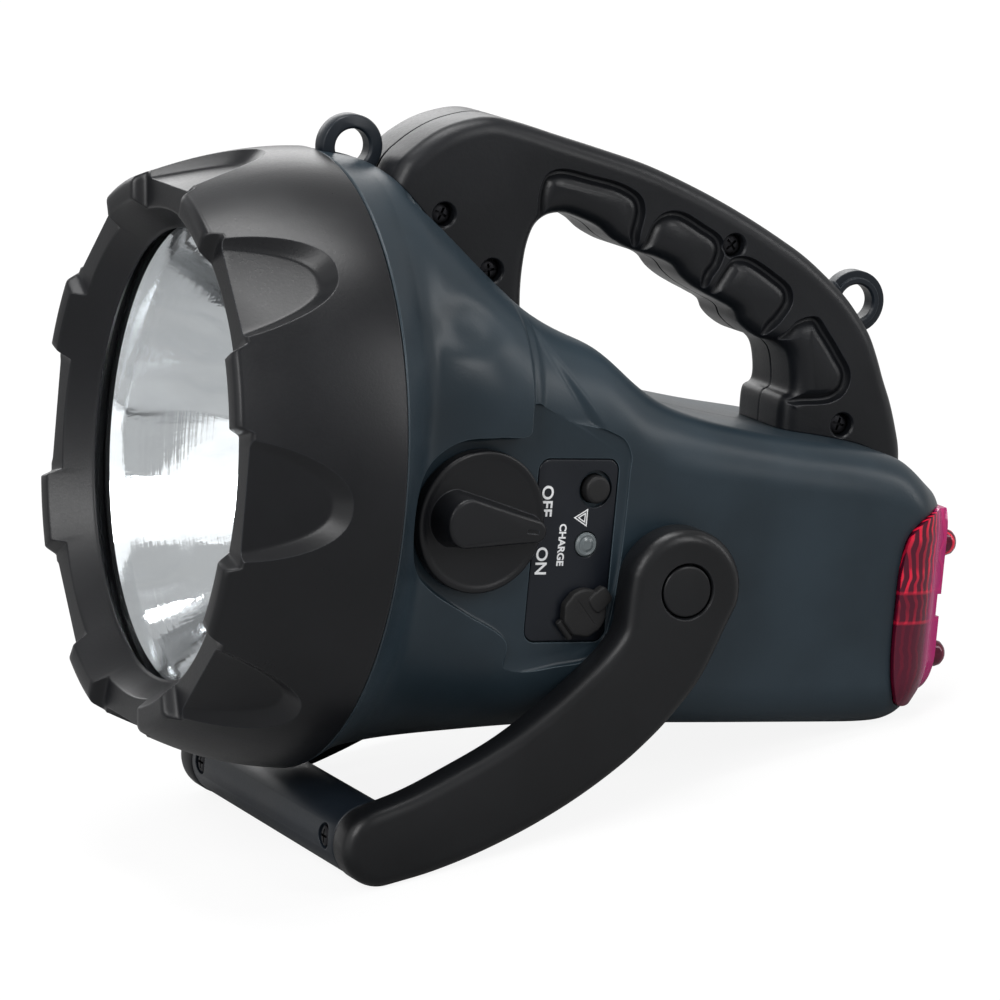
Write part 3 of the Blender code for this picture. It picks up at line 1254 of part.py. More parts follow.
def make_bail():
    """The bail stand: two arms, the crossbar, and the pivots with their screws and caps."""
    outer = ARM_INNER_Y + ARM_THICKNESS
    outline = arm_outline()
    pieces = []
    fixed = []
    first_slope = ARM_ROUNDING * ROUNDING_SHOULDER_SHARE
    levels = (
        (ARM_INNER_Y, inset_outline(outline, ARM_INNER_ROUNDING)),
        (ARM_INNER_Y + ARM_INNER_ROUNDING, outline), (outer - ARM_ROUNDING, outline),
        (outer - first_slope, inset_outline(outline, first_slope)),
        (outer, inset_outline(outline, ARM_ROUNDING)),
    )
    for side, word in ((-1, "left"), (1, "right")):
        rings = [[(x, side * y, z) for x, z in shape] for y, shape in levels]
        arm = loft(f"bail_arm_{word}", rings, "black_plastic")
        spigot_end = ARM_INNER_Y - ARM_SPIGOT_LENGTH
        spigot_root = ARM_INNER_Y + ARM_THICKNESS / 2
        plug = disc_profile(spigot_end, spigot_root, BAR_BORE_RADIUS - GAP)
        spigot = turned("spigot", plug, SMALL_STEPS)
        weld(arm, placed(spigot, across(BAR_X, BAR_Z, side)))
        pivot = across(PIVOT_X, PIVOT_Z, side)
        bore = disc_profile(0.0, outer + OVERRUN, PIVOT_BOLT_RADIUS + GAP)
        cut(arm, placed(turned("bore", bore, MEDIUM_STEPS), pivot))
        cap_floor = outer - PIVOT_CAP_THICKNESS
        head_floor = cap_floor - GAP - PIVOT_HEAD_HEIGHT - GAP
        well = disc_profile(head_floor, outer + OVERRUN, PIVOT_CAP_RADIUS + GAP)
        cut(arm, placed(turned("well", well, MEDIUM_STEPS), pivot))
        profile = [
            (cap_floor, 0), (cap_floor, PIVOT_CAP_RADIUS), (outer - GAP, PIVOT_CAP_RADIUS),
            (outer + GAP, PIVOT_CAP_RADIUS * PIVOT_CAP_CROWN_SHARE), (outer + GAP, 0),
        ]
        cap = placed(turned(f"pivot_cap_{word}", profile, MEDIUM_STEPS, "black_plastic"), pivot)
        head_top = cap_floor - GAP
        head = head_floor + GAP
        nut_outer = PIVOT_BOSS_FACE - PIVOT_BOSS_DEPTH - GAP
        nut_inner = nut_outer - PIVOT_NUT_THICKNESS
        profile = [
            (nut_inner, 0), (nut_inner, PIVOT_BOLT_RADIUS), (head, PIVOT_BOLT_RADIUS),
            (head, PIVOT_HEAD_RADIUS), (head_top, PIVOT_HEAD_RADIUS), (head_top, 0),
        ]
        bolt = placed(turned(f"pivot_bolt_{word}", profile, MEDIUM_STEPS, "steel"), pivot)
        disc = disc_profile(nut_inner, nut_outer, PIVOT_NUT_RADIUS)
        nut = turned(f"pivot_nut_{word}", disc, NUT_SIDES, "steel")
        bore = disc_profile(nut_inner - OVERRUN, nut_outer + OVERRUN, PIVOT_BOLT_RADIUS + GAP)
        cut(nut, turned("bore", bore, MEDIUM_STEPS))
        placed(nut, pivot)
        washer_low = PIVOT_BOSS_FACE + GAP
        washer_high = washer_low + PIVOT_WASHER_THICKNESS
        ring = disc_profile(washer_low, washer_high, PIVOT_WASHER_RADIUS, PIVOT_BOLT_RADIUS + GAP)
        washer = turned(f"pivot_washer_{word}", ring, MEDIUM_STEPS, "white_plastic")
        placed(washer, pivot)
        screw_y = side * (ARM_INNER_Y - BAIL_SCREW_INSET)
        front = BAR_X - BAR_RADIUS
        seat = front + SCREW_HEAD_HEIGHT + GAP
        at = Matrix.Translation((0, screw_y, BAR_Z))
        tip = seat + BAIL_SCREW_LENGTH
        clear = disc_profile(seat - OVERRUN, tip + GAP, SCREW_RADIUS + GAP)
        hole = turned("hole", clear, SMALL_STEPS)
        cut(arm, placed(hole, at @ Matrix.Rotation(math.pi / SMALL_STEPS, 4, "X")))
        top = seat - SCREW_HEAD_HEIGHT
        profile = [
            (top, 0), (top, SCREW_HEAD_RADIUS), (seat, SCREW_HEAD_RADIUS),
            (seat, SCREW_RADIUS), (tip, SCREW_RADIUS), (tip, 0),
        ]
        screw = placed(turned(f"bail_screw_{word}", profile, SMALL_STEPS, "steel"), at)
        pieces += [arm, cap, screw]
        fixed += [bolt, nut, washer]
    half_length = ARM_INNER_Y - GAP
    ring = disc_profile(-half_length, half_length, BAR_RADIUS, BAR_BORE_RADIUS)
    bar = placed(turned("bail_bar", ring, MEDIUM_STEPS, "grey_plastic"), across(BAR_X, BAR_Z))
    for side in (-1, 1):
        at = Matrix.Translation((0, side * (ARM_INNER_Y - BAIL_SCREW_INSET), BAR_Z))
        front = BAR_X - BAR_RADIUS
        seat = front + SCREW_HEAD_HEIGHT + 2 * GAP
        cut(bar, placed(stepped_hole(BAR_X, seat, front - OVERRUN), at))
    pieces.append(bar)
    return pieces, fixed


def make_battery():
    """The sealed battery block with its two terminals, and the foam pad on it."""
    bottom = BODY_FLOOR_SHARE * (HEAD_RADIUS - SEAM_STEP) - BODY_WALL
    low = -bottom + GAP
    high = low + BATTERY_HEIGHT
    half = BATTERY_WIDTH / 2
    rear = BATTERY_FRONT + BATTERY_LENGTH
    outline = rounded_rectangle(
        0, (low + high) / 2, BATTERY_WIDTH, BATTERY_HEIGHT, BATTERY_CORNER, BATTERY_CORNER_STEPS
    )
    rings = [[(x, y, z) for y, z in outline] for x in (BATTERY_FRONT, rear)]
    battery = loft("battery", rings, "battery_black")
    for side in (-1, 1):
        y = side * (half - TERMINAL_INSET)
        front = BATTERY_FRONT + TERMINAL_INSET
        near = (front, y - TERMINAL_WIDTH / 2, high - TERMINAL_THICKNESS)
        far = (front + TERMINAL_THICKNESS, y + TERMINAL_WIDTH / 2, high + TERMINAL_HEIGHT)
        weld(battery, block("terminal", near, far))
    middle = BATTERY_FRONT + BATTERY_LENGTH * PAD_PLACE_SHARE
    pad_low = high + GAP
    near = (middle - PAD_LENGTH / 2, -PAD_WIDTH / 2, pad_low)
    far = (middle + PAD_LENGTH / 2, PAD_WIDTH / 2, pad_low + PAD_THICKNESS)
    pad = block("battery_pad", near, far, "black_rubber")
    return battery, pad


def joint_empty(name, matrix, parent):
    """An empty at a joint: its Z axis is the joint's axis."""
    empty = bpy.data.objects.new(name, None)
    bpy.context.scene.collection.objects.link(empty)
    empty.parent = parent
    empty.matrix_local = matrix
    bpy.context.view_layer.update()
    return empty


def carry(parent, *pieces):
    """Parents pieces to an empty without moving them, with their origins on it."""
    back = parent.matrix_local.inverted()
    for piece in pieces:
        piece.data.transform(back)
        piece.parent = parent


def lowest(pieces):
    """The lowest corner of the pieces as they stand."""
    corners = [piece.matrix_world @ vertex.co for piece in pieces for vertex in piece.data.vertices]
    return min(corners, key=lambda corner: corner.z)


def stand(stance, pieces, bail):
    """Pitches the lamp onto the bail's bar and the body's rear edge, with its box's base centred."""
    others = [piece for piece in pieces if piece not in bail]
    rear_depth = BODY_FLOOR_SHARE * (HEAD_RADIUS - SEAM_STEP)
    pitch = math.atan2(-BAR_Z - rear_depth, BODY_LENGTH - BAR_X)
    for _ in range(SUPPORT_ROUNDS):
        stance.rotation_euler = (0, pitch, 0)
        bpy.context.view_layer.update()
        run = lowest(others) - lowest(bail)
        pitch += math.atan2(run.z, run.x)
    corners = [piece.matrix_world @ vertex.co for piece in pieces for vertex in piece.data.vertices]
    low_x = min(corner.x for corner in corners)
    high_x = max(corner.x for corner in corners)
    stance.location = (-(low_x + high_x) / 2, 0, -min(corner.z for corner in corners))
    bpy.context.view_layer.update()


def main():
    """Builds every piece, hangs the moving ones on their joints and stands the lamp up."""
    clear_scene()
    bezel = make_bezel()
    lens, gasket, reflector, neck = make_lens_stack()
    fixed = [bezel, lens, gasket, reflector, *make_bulb(neck)]
    handle_halves, handle_screws = make_handle()
    body_halves, body_screws = make_body()
    controls, knob, shaft, button, cap = make_controls()
    bail, pivots = make_bail()
    fixed += [*handle_halves, *handle_screws, *body_halves, *body_screws, *controls, *pivots]
    fixed += [make_tail_lens(), *make_tail_lamp(), *make_battery()]
    fixed += [make_eyelet("eyelet_front", *front_eyelet()), make_eyelet("eyelet_rear", *rear_eyelet())]

    stance = joint_empty("stance", Matrix.Identity(4), None)
    outwards = Matrix.Rotation(math.pi / 2, 4, "X")
    bail_axis = joint_empty("bail_axis", Matrix.Translation((PIVOT_X, 0, PIVOT_Z)) @ outwards, stance)
    knob_axis = joint_empty("knob_axis", panel_frame() @ outwards, stance)
    button_place = panel_frame() @ Matrix.Translation((BUTTON_U, 0, BUTTON_V)) @ outwards
    button_axis = joint_empty("button_axis", button_place, stance)
    hinge = Matrix.Translation((-CAP_HINGE_OFFSET, -GAP - CAP_HINGE_RADIUS, 0))
    cap_axis = joint_empty("cap_axis", cap_frame() @ hinge, stance)
    carry(stance, *fixed)
    carry(bail_axis, *bail)
    carry(knob_axis, knob, shaft)
    carry(button_axis, button)
    carry(cap_axis, cap)
    pieces = [*fixed, *bail, knob, shaft, button, cap]
    for piece in pieces:
        shade(piece.data)
    stand(stance, pieces, bail)


main()
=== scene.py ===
"""A handheld spotlight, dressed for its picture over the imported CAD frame.

Every form is made in the lamp's own axes and in millimetres: X runs from the seam between bezel and
body towards the tail, the control panel is on the -Y side and Z is up. LAMP then carries each
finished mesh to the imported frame, where the lamp stands nose up on its bail.
"""
import json
import logging
import math
from dataclasses import dataclass
from enum import Enum, IntEnum
from functools import cache
from typing import Any, Iterable, Optional, Sequence, Union

import bpy
import numpy as np
from mathutils import Matrix, Vector


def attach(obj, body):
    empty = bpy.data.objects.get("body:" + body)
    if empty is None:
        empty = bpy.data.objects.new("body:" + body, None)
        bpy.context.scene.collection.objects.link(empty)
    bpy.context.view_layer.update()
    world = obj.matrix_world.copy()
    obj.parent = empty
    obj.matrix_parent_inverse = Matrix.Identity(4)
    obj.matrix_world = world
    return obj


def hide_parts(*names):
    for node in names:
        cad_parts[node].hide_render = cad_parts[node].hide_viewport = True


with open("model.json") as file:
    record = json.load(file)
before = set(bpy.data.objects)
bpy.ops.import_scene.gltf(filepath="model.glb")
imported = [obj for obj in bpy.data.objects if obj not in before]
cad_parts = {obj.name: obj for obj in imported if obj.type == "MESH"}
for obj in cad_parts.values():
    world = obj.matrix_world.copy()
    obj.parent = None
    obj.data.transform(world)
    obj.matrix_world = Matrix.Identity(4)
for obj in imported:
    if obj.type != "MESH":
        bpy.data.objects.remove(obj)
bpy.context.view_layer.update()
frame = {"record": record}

log = logging.getLogger("spotlight")
Shape = np.ndarray                    # rows of points, or one value for each of them
Item = bpy.types.Object
Pair = tuple[float, float]
Pairs = tuple[Pair, ...]
Triple = tuple[float, float, float]
Colour = Triple
MM = 0.001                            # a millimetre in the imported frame
GAP = 0.3                             # the clearance between neighbouring pieces
SEAM = 0.15                           # half the clearance between two shells
PIVOT = Vector((88.5, 0.0, -22.5))    # where the bail's axis crosses the plane of symmetry
TINY, FAR = 1e-4, 1e3                 # what counts as no distance, and as no far side


def lamp_matrix() -> Matrix:
    """Return the matrix from the lamp's own axes, in millimetres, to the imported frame.

    Returns:
        The matrix, with its scale.
    """
    record = frame["record"]
    up = -Vector(record["mounts"][0]["axis"])
    side = Vector((0.0, 1.0, 0.0))
    turn = Matrix((side.cross(up), side, up)).transposed().to_4x4()
    joint = next(j for j in record["behaviour"]["joints"] if j["name"] == "bail_swing")
    here = Vector(joint["pos_m"]) - turn @ (PIVOT * MM)
    return Matrix.Translation(here) @ turn @ Matrix.Scale(MM, 4)


LAMP = lamp_matrix()


class Body(Enum):
    """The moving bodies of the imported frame."""

    LAMP = "lamp"
    BAIL = "bail"
    KNOB = "knob"
    BUTTON = "button"
    CAP = "cap"


class Side(IntEnum):
    """The lamp's two sides, by the sign of Y."""

    LEFT = -1
    RIGHT = 1

    @property
    def word(self) -> str:
        """Return the side's word in the names of pieces and nodes."""
        return self.name.lower()


class Boolean(Enum):
    """What is done to a piece with a tool."""

    CUT = "DIFFERENCE"
    JOIN = "UNION"
    KEEP = "INTERSECT"


# ---------------------------------------------------------------- curves

def hermite(t: Shape, times: Shape, values: Shape, slopes: Shape) -> Shape:
    """Evaluate a cubic through values with the given slopes.

    Args:
        t: Where to evaluate.
        times: The parameter at each value, rising.
        values: The values, one row for each time.
        slopes: The rates of change at the times.

    Returns:
        The curve's values at t.
    """
    i = np.clip(np.searchsorted(times, t, side="right") - 1, 0, len(times) - 2)
    step = times[i + 1] - times[i]
    s = (t - times[i]) / step
    if values.ndim > 1:
        s, step = s[:, None], step[:, None]
    a, b = values[i], values[i + 1]
    return (a * (1 + 2 * s) * (1 - s) ** 2 + b * s * s * (3 - 2 * s)
            + step * (slopes[i] * s * (1 - s) ** 2 - slopes[i + 1] * s * s * (1 - s)))


def steady(t: Shape, xs: Sequence[float], ys: Sequence[float]) -> Shape:
    """Interpolate a table smoothly, without overshooting between its rows.

    Args:
        t: Where to read the table.
        xs: The table's places, rising.
        ys: The table's values.

    Returns:
        The values at t.
    """
    x, y = np.asarray(xs, float), np.asarray(ys, float)
    width = np.diff(x)
    rate = np.diff(y) / width
    slopes = np.zeros_like(y)
    slopes[0], slopes[-1] = rate[0], rate[-1]
    one, two = 2 * width[1:] + width[:-1], width[1:] + 2 * width[:-1]
    same = rate[:-1] * rate[1:] > 0
    inner = np.zeros(len(same))
    inner[same] = (one + two)[same] / (one[same] / rate[:-1][same] + two[same] / rate[1:][same])
    slopes[1:-1] = inner
    return hermite(np.asarray(t, float), x, y, slopes)


def spaced(points: Shape, spacing: float, closed: bool = True) -> Shape:
    """Return points evenly spaced along a polyline whose last point closes it, if it is closed.

    Args:
        points: The polyline's points.
        spacing: The distance aimed at.
        closed: Whether the last point closes the line.

    Returns:
        The even points.
    """
    run = np.concatenate([[0], np.cumsum(np.linalg.norm(np.diff(points, axis=0), axis=1))])
    count = max(int(round(run[-1] / spacing)), 6)
    at = np.linspace(0, run[-1], count + 1)
    even = np.column_stack([np.interp(at, run, points[:, k]) for k in range(points.shape[1])])
    return even[:-1] if closed else even


def smooth(points: Iterable[Sequence[float]], spacing: float, closed: bool = True) -> Shape:
    """Return evenly spaced points of a smooth curve through the given ones.

    Args:
        points: The points to pass through.
        spacing: The distance aimed at.
        closed: Whether the curve closes on itself.

    Returns:
        The curve's points.
    """
    p = np.asarray(list(points), float)
    count = len(p)
    if closed:
        p = np.vstack([p[-2:], p, p[:3]])
    else:
        p = np.vstack([2 * p[0] - p[1], p, 2 * p[-1] - p[-2]])
    steps = np.sqrt(np.linalg.norm(np.diff(p, axis=0), axis=1))
    times = np.concatenate([[0], np.cumsum(steps)])
    rates = np.diff(p, axis=0) / steps[:, None]
    slopes = np.zeros_like(p)
    blend = rates[:-1] * steps[1:, None] + rates[1:] * steps[:-1, None]
    slopes[1:-1] = blend / (steps[1:] + steps[:-1])[:, None]
    first = 2 if closed else 1
    last = first + (count if closed else count - 1)
    t = np.linspace(times[first], times[last], 30 * count + 1)
    return spaced(hermite(t, times, p, slopes), spacing, closed)


def arc(centre: Sequence[float], radius: float, start: float, end: float, steps: int) -> Shape:
    """Return the points of an arc between two angles in degrees."""
    turns = np.radians(np.linspace(start, end, steps + 1))
    return np.column_stack([centre[0] + radius * np.cos(turns), centre[1] + radius * np.sin(turns)])


def rounded_box(centre: Sequence[float], width: float, height: float, corner: float) -> Shape:
    """Return the outline of a rectangle with round corners.

    Args:
        centre: The rectangle's middle.
        width: Its size along u.
        height: Its size along v.
        corner: The radius of its corners.

    Returns:
        The outline's points.
    """
    parts = []
    for i, (su, sv) in enumerate(((1, 1), (-1, 1), (-1, -1), (1, -1))):
        middle = (centre[0] + su * (width / 2 - corner), centre[1] + sv * (height / 2 - corner))
        parts.append(arc(middle, corner, 90 * i, 90 * i + 90, 8))
    return np.vstack(parts)


def inward(outline: Shape) -> Shape:
    """Return the unit normals of a closed outline that point into it.

    Args:
        outline: The outline's points.

    Returns:
        One normal for each point.
    """
    run = np.roll(outline, -1, axis=0) - np.roll(outline, 1, axis=0)
    run /= np.linalg.norm(run, axis=1)[:, None] + 1e-12
    x, y = outline[:, 0], outline[:, 1]
    turn = np.sign(np.sum(x * np.roll(y, -1) - np.roll(x, -1) * y))
    return np.column_stack([-run[:, 1], run[:, 0]]) * turn


def room(outline: Shape, normals: Shape) -> Shape:
    """Return how far each point can move inwards before it meets the far side of the outline.

    Args:
        outline: The outline's points.
        normals: Their inward normals.

    Returns:
        One distance for each point.
    """
    away = outline[None] - outline[:, None]
    square = (away ** 2).sum(-1)
    ahead = (away * normals[:, None]).sum(-1)
    reach = np.where((ahead > TINY) & (square > 1.0), square / (2 * np.maximum(ahead, TINY)), FAR)
    return reach.min(axis=1) * 0.97


def eased(value: Shape) -> Shape:
    """Return the smooth step of a value between 0 and 1."""
    share = np.clip(value, 0, 1)
    return share * share * (3 - 2 * share)


def edge_levels(start: float, end: float, edge: float, steps: int = 6) -> list[Pair]:
    """List the levels (place, inset) of a wall from start to end whose end has a round edge.

    Args:
        start: Where the wall starts.
        end: Where the wall ends.
        edge: The radius of the round edge.
        steps: The edge's steps.

    Returns:
        The levels, the last of them at the end.
    """
    way = 1 if end > start else -1
    turns = [math.radians(90 * i / steps) for i in range(steps + 1)]
    return [(end - way * edge * (1 - math.sin(a)), edge * (1 - math.cos(a))) for a in turns]


# ---------------------------------------------------------------- modelling

def only(*items: Item) -> None:
    """Select the given objects alone and make the last of them active.

    Args:
        items: The objects to select, or none.
    """
    for other in bpy.context.selected_objects:
        other.select_set(False)
    for item in items:
        item.select_set(True)
        bpy.context.view_layer.objects.active = item


def sew(item: Item, fill: bool = True, distance: float = 0.0008) -> Item:
    """Merge a mesh's doubles, close its open ends and turn its faces outwards.

    Args:
        item: The object.
        fill: Whether open ends are closed.
        distance: How near doubles lie.

    Returns:
        The same object.
    """
    only(item)
    bpy.ops.object.mode_set(mode="EDIT")
    bpy.ops.mesh.select_all(action="SELECT")
    bpy.ops.mesh.remove_doubles(threshold=distance)
    if fill:
        bpy.ops.mesh.fill_holes(sides=0)
    bpy.ops.mesh.select_all(action="SELECT")
    bpy.ops.mesh.normals_make_consistent(inside=False)
    bpy.ops.object.mode_set(mode="OBJECT")
    return item


def sheet(points: Shape) -> Item:
    """Return a grid whose rows and columns of vertices lie at the given points.

    Args:
        points: The places, by row and column.

    Returns:
        The object.
    """
    rows, columns = points.shape[:2]
    only()
    bpy.ops.mesh.primitive_grid_add(x_subdivisions=columns - 1, y_subdivisions=rows - 1, size=2)
    item = bpy.context.object
    item.data.vertices.foreach_set("co", np.ascontiguousarray(points, dtype=np.float32).ravel())
    item.data.update()
    return item


def loft(rings: Shape) -> Item:
    """Return a closed solid through rings of points, each ring a row."""
    return sew(sheet(np.concatenate([rings, rings[:, :1]], axis=1)))


def slab(outline: Shape, levels: Iterable[Pair]) -> Item:
    """Return a solid with an outline of (x, z) points and levels (y, inset) across it.

    Args:
        outline: The outline's points.
        levels: The places and insets in turn.

    Returns:
        The solid.
    """
    normals = inward(outline)
    reach = room(outline, normals)
    rings = []
    for y, inset in levels:
        flat = outline + normals * np.minimum(inset, reach)[:, None]
        rings.append(np.column_stack([flat[:, 0], np.full(len(flat), y), flat[:, 1]]))
    return loft(np.stack(rings))


def lathe(profile: Iterable[Sequence[float]], steps: int, closed: bool = False) -> Item:
    """Return a profile of (x, radius) points turned about X, closed on itself or on the axis.

    Args:
        profile: The profile's points.
        steps: The steps round the axis.
        closed: Whether the profile closes on itself.

    Returns:
        The object.
    """
    p = np.asarray(list(profile), float)
    if closed:
        p = np.vstack([p, p[:1]])
    turns = np.linspace(0, 2 * math.pi, steps + 1)[:, None]
    x = np.broadcast_to(p[:, 0], (steps + 1, len(p)))
    points = np.stack([x, p[:, 1] * np.cos(turns), p[:, 1] * np.sin(turns)], axis=-1)
    return sew(sheet(points), fill=False)


def disc(start: float, end: float, radius: float, edge: float, steps: int = 64) -> Item:
    """Return a disc along X from start to end with a round edge at its end."""
    rim = [(x, radius - inset) for x, inset in edge_levels(start, end, edge, 5)]
    return lathe([(start, 0), (start, radius), *rim, (end, 0)], steps)


def moved(item: Item, matrix: Matrix) -> Item:
    """Carry an object's mesh by a matrix."""
    item.data.transform(matrix)
    return item


def across(x: float, z: float, side: Side = Side.LEFT) -> Matrix:
    """Return the matrix that lays a turned form's axis along Y at (x, z), its end outwards."""
    return Matrix.Translation((x, 0, z)) @ Matrix.Rotation(side * math.pi / 2, 4, "Z")


def merge(item: Item, tool: Item, how: Boolean) -> Item:
    """Apply a Boolean of item with tool, and remove the tool.

    Args:
        item: The object that changes.
        tool: The object that goes.
        how: What is done.

    Returns:
        The changed object.
    """
    before = len(item.data.polygons)
    change = item.modifiers.new(how.name, "BOOLEAN")
    change.operation = how.value
    change.solver = "MANIFOLD"
    change.object = tool
    only(item)
    bpy.ops.object.modifier_apply(modifier=change.name)
    if len(item.data.polygons) in (0, before):
        log.warning("%s did nothing or too much: %d faces", how.name, before)
    bpy.data.objects.remove(tool)
    return item


def cut(item: Item, *tools: Item) -> Item:
    """Cut each tool out of an item.

    Args:
        item: The object that changes.
        tools: What is cut away.

    Returns:
        The changed object.
    """
    for tool in tools:
        merge(item, tool, Boolean.CUT)
    return item


def weld(item: Item, *tools: Item) -> Item:
    """Join each tool to an item.

    Args:
        item: The object that changes.
        tools: What is joined on.

    Returns:
        The changed object.
    """
    for tool in tools:
        merge(item, tool, Boolean.JOIN)
    return item


def block(low: Sequence[float], high: Sequence[float]) -> Item:
    """Return a box between two corners, as a tool for a cut.

    Args:
        low: The lowest corner.
        high: The highest corner.

    Returns:
        The box.
    """
    centre = [(a + b) / 2 for a, b in zip(low, high)]
    only()
    bpy.ops.mesh.primitive_cube_add(size=1)
    scale = Matrix.Diagonal((*[b - a for a, b in zip(low, high)], 1))
    return moved(bpy.context.object, Matrix.Translation(centre) @ scale)


def gathered(first: Item, *others: Item) -> Item:
    """Join loose shells to one object.

    Args:
        first: The object that takes the others in.
        others: The others.

    Returns:
        The first object.
    """
    only(*others, first)
    bpy.ops.object.join()
    return first


@dataclass(frozen=True)
class Piece:
    """What a finished mesh needs to take its place in the frame."""

    name: str
    body: Body
    finish: "Finish"
    nodes: tuple[str, ...] = ()
    smooth_angle: float = 32.0

    def settle(self, item: Item) -> Item:
        """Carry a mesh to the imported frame, shade and dress it, and hang it on its body.

        Args:
            item: The object with its mesh in the lamp's own millimetres.

        Returns:
            The finished object.
        """
        item.data.transform(LAMP)
        item.name = item.data.name = self.name
        only(item)
        bpy.ops.object.shade_smooth_by_angle(angle=math.radians(self.smooth_angle))
        item.data.materials.clear()
        item.data.materials.append(self.finish.material())
        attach(item, self.body.value)
        if self.nodes:
            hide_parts(*self.nodes)
            self.finish.slot
        log.info("%s: %d faces", self.name, len(item.data.polygons))
        return item


# ---------------------------------------------------------------- finishes

Value = Union["Wire", float]


class Wire:
    """A node's output socket, with arithmetic that adds Math nodes."""

    def __init__(self, graph: "Graph", socket: bpy.types.NodeSocket) -> None:
        """Hold a socket of a graph."""
        self.graph = graph
        self.socket = socket

    def _maths(self, operation: str, first: Value, second: Value) -> "Wire":
        """Return the result of a Math node."""
        node = self.graph.node("ShaderNodeMath", {"operation": operation}, {0: first, 1: second})
        return Wire(self.graph, node.outputs[0])

    def __add__(self, other: Value) -> "Wire":
        """Return self + other."""
        return self._maths("ADD", self, other)

    def __sub__(self, other: Value) -> "Wire":
        """Return self - other."""
        return self._maths("SUBTRACT", self, other)

    def __mul__(self, other: Value) -> "Wire":
        """Return self * other."""
        return self._maths("MULTIPLY", self, other)

    def __rsub__(self, other: Value) -> "Wire":
        """Return other - self."""
        return self._maths("SUBTRACT", other, self)

    __radd__ = __add__
    __rmul__ = __mul__

    def sine(self) -> "Wire":
        """Return the sine."""
        return self._maths("SINE", self, 0.0)

    def most(self, other: Value) -> "Wire":
        """Return the greater of self and other."""
        return self._maths("MAXIMUM", self, other)

    def spread(self, low: float, high: float, start: float = 0.0, end: float = 1.0) -> "Wire":
        """Return self mapped from low..high to start..end, smoothly and clamped.

        Args:
            low: The value that becomes start.
            high: The value that becomes end.
            start: The first result.
            end: The last result.

        Returns:
            The result.
        """
        values = {"Value": self, "From Min": low, "From Max": high, "To Min": start, "To Max": end}
        node = self.graph.node("ShaderNodeMapRange", {"interpolation_type": "SMOOTHSTEP"}, values)
        return Wire(self.graph, node.outputs[0])


